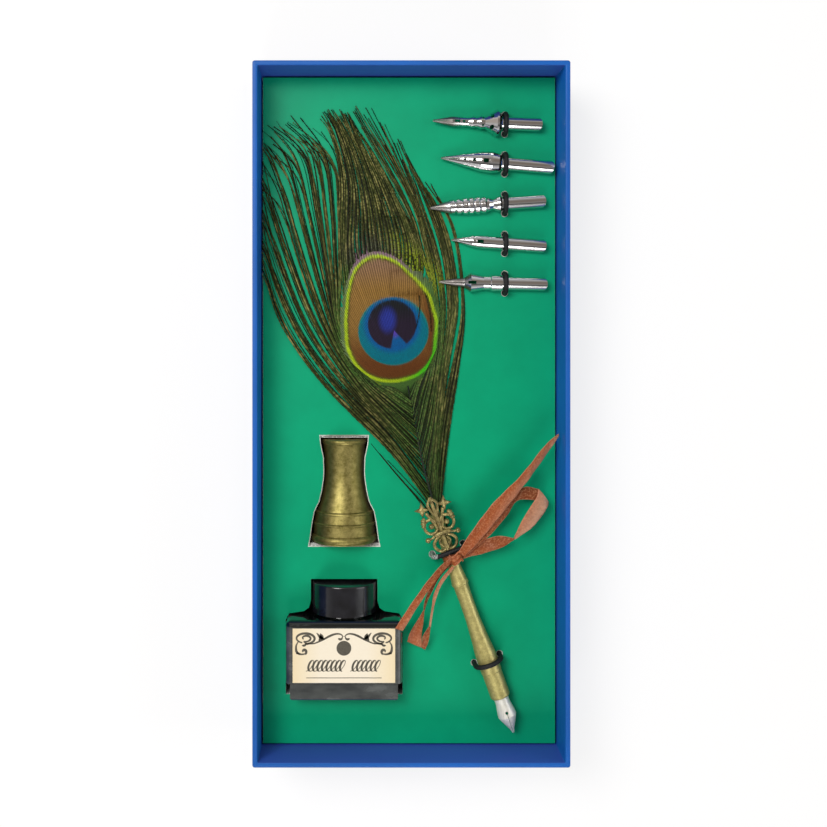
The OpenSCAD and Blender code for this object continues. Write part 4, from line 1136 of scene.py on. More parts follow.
class WRITINGSET_OT_ribbon(bpy.types.Operator):
    """Tie the satin ribbon round the pen's neck"""

    bl_idname = "writing_set.ribbon"
    bl_label = "Ribbon"

    def execute(self, context):
        given = settings(context, "ribbon")
        satin = self.satin(given)
        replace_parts(self.knot(satin), "ribbon_bow")
        for name, (*edges, first, last) in STRANDS.items():
            self.strand(name, edges, given.width / USUAL_WIDTH, (first, last), satin)
        return {"FINISHED"}

    def strand(self, name, edges, spread, painted_light_ends, satin):
        """A strip of satin between two edges, a little hollow across and rippled along."""
        a, b = (smooth_path(edge, 14) for edge in edges)
        n = len(a)
        middle = (a + b) / 2
        a, b = mixed(middle, a, spread), mixed(middle, b, spread)
        along = directions(middle)
        columns = STRAND_COLUMNS
        length = lengths_along(middle)
        verts, uvs, faces, tints = [], [], [], []
        for i in range(n):
            lift = np.cross(b[i] - a[i], along[i])
            lift = lift / max(np.linalg.norm(lift), 1e-6) * (1 if lift[2] > 0 else -1)
            wide = np.linalg.norm(b[i] - a[i])
            for k in range(columns):
                v = k / (columns - 1)
                curl = 0.07 * wide * math.sin(v * math.pi) * (0.6 + 0.4 * math.sin(length[i] * 0.3 + 1))
                ripple = 0.03 * wide * math.sin(length[i] * 0.8 + v * 4)
                place = mixed(a[i], b[i], v) + lift * (curl + ripple)
                verts.append((place[0] * MM, place[1] * MM, place[2] * MM + CARD_TOP))
                # The tint is painted light and shade: a level that runs from the strand's start to its end,
                # and a painted sheen that brightens it from one edge across to the other
                tints.append([mixed(*painted_light_ends, length[i] / length[-1]) * (0.78 + 0.4 * v)] * 3)
        for i in range(n - 1):
            for k in range(columns - 1):
                c = i * columns + k
                faces.append((c, c + 1, c + columns + 1, c + columns))
                uvs += strip_corners(length[i] * MM, length[i + 1] * MM, k, columns)
        piece = make_piece(name, verts, faces, satin.material, "pen")
        add_uv(piece, uvs)
        add_tint(piece, np.array(tints))
        thicken(piece, SATIN_THICKNESS, 0)

    def knot(self, satin):
        """The ribbon's turns round the neck and the small wrapped knot on top."""
        parts = []
        for tilt, place, bulge in ((14, KNOT_PLACE - 0.8, 0.1), (-12, KNOT_PLACE + 0.9, 0.25)):
            lean = math.tan(math.radians(tilt)) * NECK
            ring = [(place + lean * math.sin(a), (NECK + bulge) * math.cos(a), (NECK + bulge) * math.sin(a))
                    for a in np.arange(40) * 2 * math.pi / 40]
            parts.append(self.band(ring, 1.5, True))
        over = [(KNOT_PLACE + 0.4 + 0.5 * math.sin(2 * a), 1.7 + 1.8 * math.cos(a), 3.9 + 1.5 * math.sin(a))
                for a in np.radians(np.linspace(-35, 215, 33))]
        parts.append(self.band(over, 1.75, False))
        verts, faces = join_meshes([(v, f) for v, f, _ in parts])
        piece = make_piece("ribbon_knot", verts, faces, satin.material, "pen")
        add_uv(piece, [corner for _, _, uvs in parts for corner in uvs])
        # The knot's turns get one level of painted shade, a little darker than the satin's own colour
        add_tint(piece, np.full((len(verts), 3), 0.85))
        thicken(piece, KNOT_THICKNESS, 1)
        return piece

    def band(self, ring, half, closed):
        """A pleated band along ring, which holds places along the pen, sideways and above it."""
        columns = KNOT_COLUMNS
        n = len(ring)
        verts, faces, uvs = [], [], []
        for i, (s, y, z) in enumerate(ring):
            for k in range(columns):
                u = 2 * k / (columns - 1) - 1
                grow = 1 + 0.07 * math.cos(u * 7)
                verts.append(pen_point(s + u * half, y * grow, z * grow))
        for i in range(n if closed else n - 1):
            j = (i + 1) % n
            for k in range(columns - 1):
                faces.append((i * columns + k, i * columns + k + 1, j * columns + k + 1, j * columns + k))
                uvs += strip_corners(i * 0.4 * MM, (i + 1) * 0.4 * MM, k, columns)
        return verts, faces, uvs

    def satin(self, given):
        """Copper satin, with light and shade painted in as its tint says, painted shade in crease marks,
        painted glints and pale selvedges.
        """
        finish = Finish("copper_satin", Roughness=0.4, Anisotropic=0.5, Specular_IOR_Level=0.2)
        painted_light_level = finish.add("ShaderNodeVertexColor", layer_name="tint").outputs["Color"]
        uv = finish.add("ShaderNodeUVMap", uv_map="along").outputs[0]
        split = finish.add("ShaderNodeSeparateXYZ", {"Vector": uv})
        along, across = split.outputs["X"], split.outputs["Y"]
        rows = finish.math("SINE", finish.math("MULTIPLY", along, 2 * math.pi / THREADS))
        slant = finish.math("MULTIPLY_ADD", across, TWILL_ACROSS,
                            finish.math("MULTIPLY", along, TWILL_ALONG))
        weave = finish.math("MULTIPLY", rows, finish.math("SINE", slant))
        edge = finish.math("ABSOLUTE", finish.math("SUBTRACT", across, 0.5))
        selvedge = finish.ramp(edge, [(0.44, 0.0), (0.48, 0.55)])
        # The ramp runs from the satin in painted shade, through its own colour, to painted lit satin
        satin_in_shade = shaded(given.satin, 0.42)
        pale = tuple(mixed(*pair, 0.45) for pair in zip(given.satin, linear(236, 206, 176)))
        tone = finish.ramp(finish.math("MULTIPLY", painted_light_level, 0.5),
                           [(0.2, satin_in_shade), (0.46, given.satin), (0.9, pale)])
        # Painted shade: cloudy patches darkened towards the satin in shade, as in crease marks
        painted_crease_shade = finish.ramp(finish.noise(700, 4, 0.7), [(0.3, 0.4), (0.6, 0.0)])
        glint = finish.ramp(finish.noise(1500, 4, 0.7), [(0.47, 0.0), (0.64, 0.34)])
        tone = finish.mix(glint, finish.mix(painted_crease_shade, tone, satin_in_shade), linear(216, 156, 112))
        finish.colour(finish.mix(selvedge, tone, linear(206, 130, 98)))
        finish.bump(weave, 0.35, 0.04 * MM)
        return finish


# Feather

# The shaft starts straight behind the pen, so far back from the grip, and then bends to the left, in mm
SHAFT_HEIGHT = 3.95
SHAFT_START = (63.2, 66.7, 70.2)
SHAFT_PATH = [(8.8, -35.6, 3.95), (8, -31, 3.8), (5, -20, 2.6), (2.6, -8, 1.8), (1.2, -1, 1.4),
              (0.2, 5, 1.0), (-0.5, 9, 0.9)]
# Shares of the shaft's length, and its radius there in mm
SHAFT_TAPER = (0, 0.16, 0.4, 1), (1.3, 0.8, 0.4, 0.22)
# Guides of the loose barbs, in mm from the shaft to the tips, in order round each side
LEFT_GUIDES = (
    ((8.8, -36), (-5.6, -17), (-20, -2.5), (-31, 9), (-41, 22), (-48, 34), (-52, 47), (-53.6, 60)),
    ((6.6, -27), (-7.4, -8.8), (-20, 4), (-30, 15.5), (-39, 29), (-46, 44), (-51, 59), (-53.6, 75)),
    ((4, -16), (-9, -2.5), (-19, 8), (-28.5, 21), (-37, 36), (-44, 54), (-50, 73), (-53.6, 92)),
    ((3, -10), (-8, 0.5), (-18, 11), (-27, 25), (-34, 43), (-41, 65), (-47, 86), (-53, 104)),
    ((2, -5), (-8, 3.5), (-17, 12), (-26, 27), (-31.5, 47), (-37, 70), (-42, 90), (-49, 105)),
    ((1.2, -1), (-7, 5), (-16, 12.5), (-25.5, 28), (-29, 48), (-32.5, 72), (-36, 93), (-44, 106)),
    ((0.8, 2), (-6, 6.5), (-15, 12.5), (-25, 28), (-27, 50), (-28.3, 72), (-31, 93), (-39, 107)),
    ((0.4, 4), (-5, 8), (-14, 12.5), (-24.6, 28), (-24.6, 52), (-24.3, 72), (-25.5, 91), (-32, 106)),
)
CROWN_GUIDES = (
    ((-23.8, 37), (-25.3, 53), (-26, 69), (-25.6, 82), (-26.4, 92), (-29.5, 102), (-33, 108)),
    ((-20, 48), (-21.5, 61), (-21, 72), (-21, 82), (-23, 92), (-26, 102), (-29.5, 110.5)),
    ((-12, 54), (-13.5, 65), (-14.5, 74), (-16.5, 84), (-19.5, 94), (-23.5, 103), (-27.5, 110)),
    ((-6, 52), (-7, 64), (-9, 73), (-12, 82), (-16, 92), (-20, 101), (-23, 111)),
    ((0, 46), (1, 58), (-1.5, 68), (-6.5, 80), (-11.5, 90), (-15, 97), (-20, 105)),
    ((4, 42), (5, 54), (1.5, 66), (-4.5, 78), (-9.5, 88), (-13.5, 95), (-18, 102)),
)
RIGHT_GUIDES = (
    ((11.4, -35), (13.3, -18), (15.3, -3), (18, 14), (20.2, 32), (19.5, 50), (17, 66), (12.5, 77)),
    ((10, -33.5), (10.9, -14), (12.6, 3), (15.4, 20), (18.5, 38), (17.5, 55), (13.5, 71), (4, 88)),
    ((8.6, -32), (9.9, -14), (11.6, 3), (14, 20), (16.7, 38), (15, 56), (10, 73), (0, 93)),
    ((6.6, -25), (8.8, -10), (10.8, 6), (12.7, 22), (14, 39), (12, 57), (6, 76), (-3, 99)),
    ((4.5, -16), (7.6, -2), (9.8, 12), (11.4, 26), (11.6, 41), (8.5, 57), (2.5, 77), (-6, 103)),
    ((2.8, -8), (5.6, 4), (8.6, 15.5), (10.6, 28), (10, 43), (7, 60), (1.5, 79), (-13, 111)),
    ((1.4, -1), (3.4, 8), (6.8, 17), (9.9, 29), (8.9, 43), (5.5, 60), (-0.5, 79), (-19, 113)),
    ((0, 6), (2.6, 11.4), (6.2, 17.4), (9.4, 28.6), (8.4, 43), (4.4, 57), (-1.6, 74), (-20, 108)),
)
# Where the eye's close-set barbs fan out from, between which angles, and in how many columns and rows
FAN_ROOT = np.array([-0.6, 2.5])
FAN_ANGLES = (52, 150)
FAN_COLUMNS, FAN_ROWS = 560, 150
# The eye's centre, and how far its bright ring is from there, every 15 degrees from +X, in mm
EYE_CENTRE = np.array([-5.78, 29.05])
EYE_RING = (15.5, 16.1, 16.6, 18.3, 19.7, 21.9, 25.7, 28.2, 26.7, 22.6, 19.5, 17.9,
            17.2, 17.5, 17.9, 18.3, 18.5, 18.4, 18.1, 18.0, 18.0, 17.6, 16.8, 15.7)
# Half the width and height of the turquoise pool round the eye's centre
POOL_HALVES = (12.9, 12.45)
# The middle of the dark heart, the point of its notch, both from the eye's centre, and the heart's radius
HEART, NOTCH, HEART_RADIUS = (-0.48, 2.54), (0.25, 0.15), 8.9
# Tones of the eye's fringe, four of them, of its bright ring, and of the bronze inside the ring
GREEN, MAUVE, PALE, SHADE, LIME, BRIGHT, GOLD, PINK, BROWN, LINE = (np.array(linear(*tone)) for tone in (
    (70, 104, 46), (126, 100, 114), (104, 120, 84), (44, 64, 30), (160, 186, 30), (66, 186, 26),
    (134, 100, 48), (128, 98, 76), (98, 56, 24), (84, 74, 30)))
# Tones of the pool, and of the dark heart in it
TEAL, RIM, AZURE, NIGHT, BLACK, ROYAL, VIOLET = (np.array(linear(*tone)) for tone in (
    (0, 106, 124), (0, 122, 96), (8, 74, 146), (36, 26, 44), (24, 26, 32), (38, 50, 140), (92, 54, 170)))
# Tones of the loose barbs: three in their streaks, one near the shaft and the eye, two beyond the eye
DARK_HAIR, OLIVE_HAIR, GOLD_HAIR, LEAF_HAIR, LIME_HAIR, MAUVE_HAIR = (np.array(linear(*tone)) for tone in (
    (26, 30, 12), (72, 80, 34), (152, 146, 84), (70, 108, 44), (150, 168, 34), (92, 82, 78)))
# Places along the shaft, that the barbs are greener near
GREEN_NEAR = np.array([(8, -31), (5, -20), (2.6, -8), (0.6, 3), (-0.6, 9)])
# How high a barb's crest stands above its sides in mm, how much painted shade darkens the sides, and the
# places to a hair
BARB_CREST = 0.1
BARB_SIDE_SHADE = 0.14
HAIR_EVERY = 3
# The least distance from the tray's outside to a barb
WALL_SIDE = 2.0 * MM
# Shares of each side's barbs, from its first guide to its last, that its bunches take up at the tips
LEFT_BUNCHES = ((0, 0.04), (0.08, 0.13), (0.17, 0.23), (0.27, 0.32), (0.36, 0.43), (0.48, 0.54), (0.58, 0.61),
                (0.66, 0.72), (0.76, 0.79), (0.84, 0.88), (0.93, 1))
CROWN_BUNCHES = ((0, 0.1), (0.14, 0.24), (0.27, 0.42), (0.46, 0.56), (0.6, 0.7), (0.75, 0.82), (0.88, 1))
RIGHT_BUNCHES = ((0, 0.08), (0.2, 0.42), (0.47, 0.6), (0.68, 0.86), (0.9, 1))
# Single dark barbs: two that stray over the eye, and the lowest ones, which start behind the ornament
STRAYS = (
    ((13, -47.2), (11.4, -42.5), (9.2, -38), (6.2, -33.5), (0, -26.5), (-8, -18)),
    ((12.2, -47.4), (10.2, -42.5), (7.6, -37.8), (4.2, -33), (-3, -25), (-11, -15.5)),
    ((11.6, -47.6), (9.4, -42.8), (6.4, -37.6), (2.8, -32), (-5, -23), (-14, -12)),
    ((13.6, -47), (12.8, -42), (11.6, -37.5), (10.6, -33), (10.8, -25), (12, -14)),
    ((14.2, -46.8), (13.6, -42), (12.4, -37.5), (11.2, -33), (12, -25), (13.2, -14)),
    ((13.2, -47), (12, -42), (10.6, -37), (9.6, -33), (9.8, -25), (10.6, -14)),
    ((0.5, 60), (1.6, 54), (2.8, 48), (3.7, 42), (3.6, 36), (2.4, 30)),
    ((3, 60), (4, 53), (5.2, 47), (6.4, 41), (7.6, 35), (8, 29)),
)
# How far the spare nibs slide over the feather, how high it may stand there, and how far round, in mm
NIB_SLIDE = 17
NIB_ROOM = 0.42
NIB_MARGIN = 0.5


@functools.lru_cache
def nib_boxes():
    """Lowest and highest corner of each spare nib, in mm."""
    return [tuple(np.array(corner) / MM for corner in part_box(node)) for node in NIBS]


def room_under_nibs(xy):
    """How high the feather may stand above the card, in mm, at places that the spare nibs slide over."""
    room = np.full(len(xy), np.inf)
    for low, high in nib_boxes():
        from_side = np.abs(xy[:, 1] - (low[1] + high[1]) / 2) - (high[1] - low[1]) / 2
        outside = np.maximum(from_side - NIB_MARGIN, low[0] - NIB_SLIDE - NIB_MARGIN - xy[:, 0])
        room = np.minimum(room, NIB_ROOM + np.maximum(outside, 0))
    return room


def ring_radius(angle):
    """Distance of the eye's bright ring from its centre, in mm, for an angle in radians."""
    count = len(EYE_RING)
    place = (np.asarray(angle) / (2 * math.pi) * count) % count
    i = np.floor(place).astype(int)
    t = place - i
    r = np.array(EYE_RING)
    return between_points(*(r[(i + k) % count] for k in (-1, 0, 1, 2)), t)


def beyond_ring(xy):
    """How far places in mm are outside the eye's bright ring."""
    d = xy - EYE_CENTRE
    return np.hypot(d[..., 0], d[..., 1]) - ring_radius(np.arctan2(d[..., 1], d[..., 0]))


def blend_in(value, low, high):
    """A share for each colour that rises smoothly from 0 at low to 1 at high."""
    t = np.clip((value - low) / (high - low), 0, 1)
    return (t * t * (3 - 2 * t))[..., None]


def eye_colour(xy, dice):
    """The feather eye's colours at places in mm: ring, bronze, turquoise and the dark heart."""
    x, y = (xy - EYE_CENTRE).T
    jitter = dice.normal(0, 0.16, len(xy))
    edge = jitter - beyond_ring(xy)
    lower, upper = blend_in(-y, -12, 12), blend_in(y, 12, 26)
    left, right = blend_in(-x, 4, 14), blend_in(x, 0, 12)
    colour = mixed(GREEN, MAUVE, upper * (1 - right * 0.7))
    colour = mixed(colour, PALE, left * (1 - upper) * 0.7)
    colour = mixed(colour, SHADE, blend_in(-edge, 2.4, 5.5) * 0.85)
    colour = mixed(colour, mixed(LIME, BRIGHT, lower * right), blend_in(edge, -0.9, -0.5))
    bronze = mixed(GOLD, PINK, blend_in(y, 14, 27))
    bronze = mixed(bronze, BROWN, np.maximum(blend_in(-y, -4, 13), blend_in(x, 6, 15) * (1 - upper)))
    colour = mixed(colour, LINE, blend_in(edge, 0.25, 0.6))
    colour = mixed(colour, bronze, blend_in(edge, 0.6, 1.6))
    pool = np.hypot(x / POOL_HALVES[0], y / POOL_HALVES[1]) + jitter * 0.02
    heart = np.hypot(x - HEART[0], y - HEART[1]) / HEART_RADIUS
    water = mixed(TEAL, RIM, blend_in(pool, 0.93, 0.99) * (0.4 + 0.6 * blend_in(y, 0, 9)))
    water = mixed(water, AZURE, (1 - blend_in(heart, 1.02, 1.3)) * 0.75)
    colour = mixed(colour, water, 1 - blend_in(pool, 0.985, 1.015))
    notch = np.degrees(np.arctan2(y - NOTCH[1], x - NOTCH[0]))
    in_notch = blend_in(notch, -104, -97) * (1 - blend_in(notch, -50, -43))
    royal = 1 - blend_in(np.hypot((x + 2.1) / 4.2, (y - 4.1) / 6.2), 0.35, 1.0)
    night = mixed(mixed(NIGHT, BLACK, blend_in(y, 2, 10)), ROYAL, royal * 0.9)
    dark = (1 - blend_in(heart + jitter * 0.01, 0.975, 1.02)) * (1 - in_notch)
    colour = mixed(colour, night, dark)
    violet = in_notch * (1 - blend_in(np.hypot(x - NOTCH[0], y - NOTCH[1]), 0.6, 3.6))
    return mixed(colour, VIOLET, violet * 0.85)


class WRITINGSET_OT_feather(bpy.types.Operator):
    """Grow the feather: shaft, loose barbs with their fine hairs, and the close-set eye"""

    bl_idname = "writing_set.feather"
    bl_label = "Feather"

    def execute(self, context):
        given = settings(context, "feather")
        hair = self.hair_finish()
        self.shaft()
        width = given.width / MM
        for side, guides, bunches, opening, count, curl, seed, strays in (
                ("left", LEFT_GUIDES, LEFT_BUNCHES, (0.2, 0.5), given.left_barbs, 1.0, 11, ()),
                ("crown", CROWN_GUIDES, CROWN_BUNCHES, (0.4, 0.9), given.crown_barbs, 0.15, 17, ()),
                ("right", RIGHT_GUIDES, RIGHT_BUNCHES, (0.02, 0.7), given.right_barbs, 0.2, 23, STRAYS)):
            barbs = self.side("feather_barbs_" + side, guides, bunches, opening, count, width, curl, hair,
                              np.random.default_rng(seed), strays)
            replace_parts(barbs, "feather_vane")
        eye = self.eye(hair)
        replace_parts(eye, "feather_eye")
        return {"FINISHED"}

    def hair_finish(self):
        """Barbs in the colours of their tint, a little uneven."""
        finish = Finish("feather_barbs", Roughness=0.5, Specular_IOR_Level=0.08)
        tint = finish.add("ShaderNodeVertexColor", layer_name="tint").outputs["Color"]
        grain = finish.noise(3000, 2)
        finish.colour(finish.mix(finish.ramp(grain, [(0.3, 0.3), (0.7, 0.0)]), tint, (0.01, 0.012, 0.004)))
        finish.rough(grain, 0.4, 0.6)
        return finish

    def shaft(self):
        """The dark shaft, from the pen's end up into the eye."""
        start = [(PEN_X - s * math.cos(PEN_ANGLE), PEN_Y - s * math.sin(PEN_ANGLE), SHAFT_HEIGHT)
                 for s in SHAFT_START]
        path = smooth_path(start + SHAFT_PATH, 6)
        radii = np.interp(np.linspace(0, 1, len(path)), *SHAFT_TAPER) * MM
        verts, faces, uvs = tube_mesh(path * MM + np.array([0, 0, CARD_TOP]), radii, 12)
        finish = Finish("feather_shaft", Roughness=0.5, Specular_IOR_Level=0.15)
        pith = finish.noise(700, 3, stretch=(1, 0.2, 1))
        finish.colour(finish.ramp(pith, [(0.3, linear(16, 24, 26)), (0.7, linear(44, 50, 36))]))
        finish.bump(pith, 0.2, 0.05 * MM)
        piece = make_piece("feather_shaft", verts, faces, finish.material, "pen")
        add_uv(piece, uvs)
        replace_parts(piece, "feather_quill")

    def side(self, name, guides, bunches, opening, count, width, curl, finish, dice, strays):
        """One side's loose barbs, gathered in bunches, so that the card shows between them."""
        firsts, lasts = np.array(bunches).T
        roots = np.concatenate([[0], (lasts[:-1] + firsts[1:]) / 2, [1]])
        parts = []
        for i in range(count):
            u = min((i + dice.uniform(0.2, 0.8)) / count, 0.9999)
            stray = dice.random() < 0.2 * curl
            k = np.searchsorted(roots, u, side="right") - 1
            inside = (u - roots[k]) / (roots[k + 1] - roots[k])
            t = np.linspace(0, min(dice.uniform(0.9, 1.03), 1), 240)
            drawn_in = 0.5 + (inside - 0.5) * (1 + 2 * curl * np.clip(t * 6 - 5, 0, 1))
            target = firsts[k] + drawn_in * (lasts[k] - firsts[k])
            gathered = blend_in(t, *opening)[:, 0] * (0.3 if stray else 1)
            wave = 0.005 * np.sin(t * dice.uniform(5, 11) + dice.uniform(0, 6))
            line = self.barb_line(guides, np.clip(u + gathered * (target - u) + wave, 0, 1), t)
            bend = np.clip((t - t[-1] + 0.16) / 0.16, 0, 1)[:, None] ** 2
            sway = np.array([-dice.uniform(0, 6), dice.uniform(-4, 1.5)]) * (1.6 if stray else 1)
            line = line + bend * sway * curl
            bright = i % 2 == 0 and not stray
            rise = (0.3 + (0.7 * dice.random() + 0.2 * bright) * np.clip(1 - t, 0.25, 1)
                    + 1.5 * np.exp(-t * 12))
            away = beyond_ring(line)
            near_nibs = np.clip((line[:, 0] - 2) / 5, 0, 1) * np.clip((line[:, 1] - 36) / 8, 0, 1)
            low_lying = np.maximum(near_nibs, 1 - np.clip((away - 1.5) / 2, 0, 1))
            rise = np.minimum(mixed(rise, 0.24, low_lying), room_under_nibs(line) - 0.2)
            path = np.column_stack([line, rise])
            # Every other barb keeps its tone with a little random variation; the rest, which lie lower, get
            # painted shade as barbs lying under the others
            tone_and_painted_shade = dice.uniform(0.8, 1.25) if bright else dice.uniform(0.12, 0.4)
            parts.append(self.barb(path, t, away, width * (0.5 if stray else 1), tone_and_painted_shade, dice))
        for points in strays:
            line = smooth_path(points, 24)
            path = np.column_stack([line, np.minimum(1.5, room_under_nibs(line) - 0.2)])
            t, away = np.linspace(0.3, 1, len(line)), np.full(len(line), 20.0)
            parts.append(self.barb(path, t, away, width * 0.8, 0.3, dice))
        verts, faces = join_meshes([(v, f) for v, f, _ in parts])
        verts = verts * MM
        verts[:, 2] += CARD_TOP
        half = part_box("tray_wrap")[1].x - WALL_SIDE
        verts[:, 0] = np.clip(verts[:, 0], -half, half)
        piece = make_piece(name, verts, faces, finish.material, "pen", smooth=False)
        add_tint(piece, np.vstack([c for _, _, c in parts]))
        return piece

    def barb_line(self, guides, place, t):
        """Places t along the guides, at the share place of the way from the first guide to the last."""
        steps = 16
        along = np.array([smooth_path(g, steps) for g in guides])
        across = place * (len(guides) - 1)
        i = np.clip(np.floor(across).astype(int), 0, len(guides) - 2)
        f = (across - i)[:, None]
        at = t * (along.shape[1] - 1)
        j = np.clip(np.floor(at).astype(int), 0, along.shape[1] - 2)
        g = (at - j)[:, None]
        return ((along[i, j] * (1 - g) + along[i, j + 1] * g) * (1 - f)
                + (along[i + 1, j] * (1 - g) + along[i + 1, j + 1] * g) * f)

    def barb(self, path, t, away, width, tone_and_painted_shade, dice):
        """A ridged strip with specks along its crest, painted shade on its sides, and a few short hairs
        beside it.
        """
        along = directions(path)
        beside = np.stack([-along[:, 1], along[:, 0], np.zeros(len(along))], 1)
        beside /= np.linalg.norm(beside, axis=1)[:, None]
        n = len(path)
        half = width / 2 * (0.5 + 0.5 * np.clip(t * 8, 0, 1)) * (1 - 0.66 * t ** 1.6)
        half = (half * dice.uniform(0.75, 1.2) * dice.uniform(0.75, 1.25, n))[:, None]
        crest = path + np.array([0, 0, BARB_CREST])
        verts = [path - beside * half, crest, path + beside * half]
        faces = [(k * n + i, k * n + i + 1, (k + 1) * n + i + 1, (k + 1) * n + i)
                 for i in range(n - 1) for k in range(2)]
        faded = (1 - 0.5 * np.clip(t * 6 - 5, 0, 1))[:, None]
        tone = self.hair_tones(path[:, :2], away, dice) * tone_and_painted_shade * faded
        # Painted shade: the strip's sides are far darker than its crest
        shade = tone * BARB_SIDE_SHADE
        tints = [shade * dice.uniform(0.6, 1.5, n)[:, None], tone, shade * dice.uniform(0.6, 1.5, n)[:, None]]
        start = 3 * n
        at = np.arange(2, n - 2, HAIR_EVERY)
        for sign in (-1, 1):
            reach = dice.uniform(0.3, 0.62, len(at)) * (1 - 0.4 * t[at])
            slant = np.radians(dice.uniform(20, 46, len(at)))[:, None]
            tip = path[at] + (along[at] * np.cos(slant) + beside[at] * sign * np.sin(slant)) * reach[:, None]
            tip[:, 2] = np.maximum(tip[:, 2] + dice.uniform(-0.1, 0.1, len(at)), 0.1)
            m = len(at)
            verts += [path[at], path[at] + along[at] * 0.2, tip]
            faces += [(start + i, start + m + i, start + 2 * m + i) for i in range(m)]
            tints += [tone[at] * 0.35, tone[at] * 0.35, tone[at] * 0.6]
            start += 3 * m
        return np.vstack(verts), faces, np.vstack(tints)

    def hair_tones(self, xy, away, dice):
        """Streaks of dark, olive and gold along a barb, greener near the shaft and round the eye."""
        n = len(xy)
        streak = sum(share * np.interp(np.arange(n) / every, np.arange(n // every + 2),
                                       dice.random(n // every + 2))
                     for share, every in ((0.55, 14), (0.45, 2)))[:, None]
        tone = mixed(DARK_HAIR, OLIVE_HAIR, np.clip(streak * 2, 0, 1))
        tone = mixed(tone, GOLD_HAIR, np.clip((streak - 0.5) / 0.4, 0, 1))
        x, y = (xy - EYE_CENTRE).T
        angle = np.arctan2(y, x)
        to_root = np.min(np.linalg.norm(xy[:, None] - GREEN_NEAR[None], axis=2), axis=1)
        green = np.maximum(1 - blend_in(away, 1, 8), 1 - blend_in(to_root, 3, 14))
        green = green * (1 - blend_in(y, 32, 42))
        tone = mixed(tone, LEAF_HAIR * dice.uniform(0.35, 1.5, n)[:, None], green * 0.75)
        bright = (1 - blend_in(away, 4, 13)) * blend_in(angle, 0.6, 0.9) * (1 - blend_in(angle, 1.5, 1.8))
        tone = mixed(tone, LIME_HAIR, bright * (dice.random(n)[:, None] < 0.7))
        haze = (1 - blend_in(away, 2, 12)) * blend_in(angle, 1.3, 1.6) * (1 - blend_in(angle, 2.0, 2.3))
        tone = tone * (0.7 + 0.3 * blend_in(y, -48, 0))
        tone = mixed(tone, MAUVE_HAIR * dice.uniform(0.4, 1.3, n)[:, None], haze * 0.6)
        return np.maximum(tone, 0)

    def eye(self, finish):
        """The eye's close-set barbs: a fan of fine ridges from the shaft, coloured by place."""
        dice = np.random.default_rng(5)
        columns, rows = FAN_COLUMNS, FAN_ROWS
        every_other = np.arange(columns) % 2 == 0
        angle = np.radians(np.linspace(*FAN_ANGLES, columns))
        reach = self.fan_reach(angle, dice)
        share = np.linspace(0.02, 1, rows)
        bow = np.radians(2.2) * np.sin(share * math.pi)[None] * ((angle - math.radians(98)) / 0.8)[:, None]
        turned = angle[:, None] + bow
        xy = np.stack([np.cos(turned), np.sin(turned)], -1) * (reach[:, None] * share[None])[..., None]
        xy = (FAN_ROOT + xy).reshape(-1, 2)
        edge = -beyond_ring(xy)
        dome = (0.62 + 0.65 * np.clip(edge / 12, 0, 1) ** 0.7 + 0.35 * np.exp(-np.tile(share, columns) * 8)
                - 0.12 * (edge < -1))
        ridge = np.where(every_other, 0.05, -0.05)
        height = np.minimum(dome, room_under_nibs(xy) - 0.05) + np.repeat(ridge, rows)
        verts = np.column_stack([xy * MM, height * MM + CARD_TOP])
        k = np.arange(columns - 1)[:, None] * rows + np.arange(rows - 1)[None]
        faces = np.stack([k, k + rows, k + rows + 1, k + 1], -1).reshape(-1, 4)
        # Every other column, the one that lies lower, gets painted shade as in a groove; the wave makes bands
        # of lighter and darker columns
        wave = 1 + 0.42 * np.cos(angle * 2 * math.pi / 0.0165 + 0.8 * np.sin(angle * 9))
        lines_and_groove_shade = np.where(every_other, 1.08, 0.8) * wave * dice.uniform(0.9, 1.1, columns)
        colours = eye_colour(xy, dice) * np.repeat(lines_and_groove_shade, rows)[:, None]
        colours = np.clip(colours * dice.uniform(0.88, 1.12, len(xy))[:, None], 0, 1)
        piece = make_piece("feather_eye_disc", verts, faces, finish.material, "pen")
        add_tint(piece, colours)
        return piece

    def fan_reach(self, angle, dice):
        """The length of the close-set barbs at each angle, a little beyond the bright ring, in mm."""
        steps = np.linspace(1, 62, 260)
        rays = np.column_stack([np.cos(angle), np.sin(angle)])
        inside = beyond_ring(FAN_ROOT + rays[:, None] * steps[None, :, None]) < 0
        last = np.where(inside.any(1), inside.shape[1] - 1 - np.argmax(inside[:, ::-1], axis=1), 20)
        crown = np.exp(-((angle - math.radians(96)) / 0.3) ** 2)
        pairs = np.repeat(dice.random(len(angle) // 2 + 1), 2)[:len(angle)]
        ragged = 2.6 + (2.4 + 3.2 * crown) * pairs
        return steps[last] + ragged * np.where(inside.any(1), 1, 0.4)


# Sidebar and registration


OPERATORS = (WRITINGSET_OT_stage, WRITINGSET_OT_tray, WRITINGSET_OT_insert, WRITINGSET_OT_elastics,
             WRITINGSET_OT_nibs, WRITINGSET_OT_stand, WRITINGSET_OT_bottle, WRITINGSET_OT_pen,
             WRITINGSET_OT_ribbon, WRITINGSET_OT_feather)


class WRITINGSET_PT_panel(bpy.types.Panel):
    """Lists the pieces of the set and their settings"""

    bl_idname = "WRITINGSET_PT_panel"
    bl_label = "Calligraphy Set"
    bl_space_type = "VIEW_3D"
    bl_region_type = "UI"
    bl_category = "Calligraphy Set"

    def draw(self, context):
        for operator in OPERATORS:
            self.layout.operator(operator.bl_idname)
        for name, group in SETTINGS.items():
            box = self.layout.box()
            box.label(text=name.capitalize())
            for key in group.__annotations__:
                box.prop(settings(context, name), key)


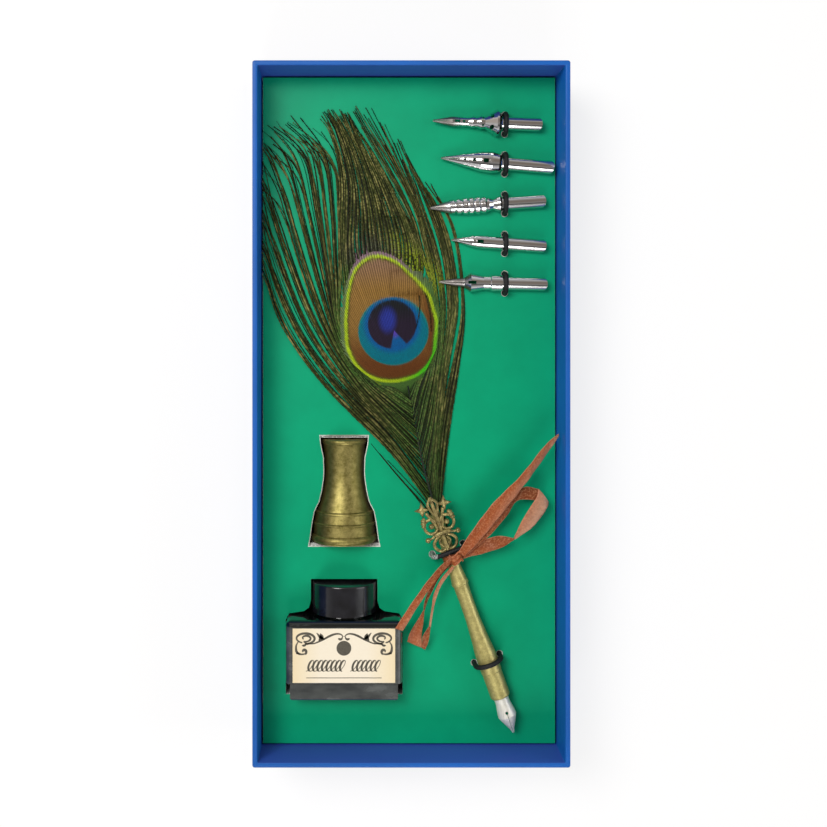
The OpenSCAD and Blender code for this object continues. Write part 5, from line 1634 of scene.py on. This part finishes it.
def register():
    for group in SETTINGS.values():
        bpy.utils.register_class(group)
    for name, group in SETTINGS.items():
        setattr(bpy.types.Scene, "writing_set_" + name, bpy.props.PointerProperty(type=group))
    for operator in OPERATORS:
        bpy.utils.register_class(operator)
    bpy.utils.register_class(WRITINGSET_PT_panel)


def unregister():
    bpy.utils.unregister_class(WRITINGSET_PT_panel)
    for operator in reversed(OPERATORS):
        bpy.utils.unregister_class(operator)
    for name in SETTINGS:
        delattr(bpy.types.Scene, "writing_set_" + name)
    for group in reversed(list(SETTINGS.values())):
        bpy.utils.unregister_class(group)


def main():
    register()
    for operator in OPERATORS:
        area, name = operator.bl_idname.split(".")
        getattr(getattr(bpy.ops, area), name)()


if __name__ == "__main__":
    main()
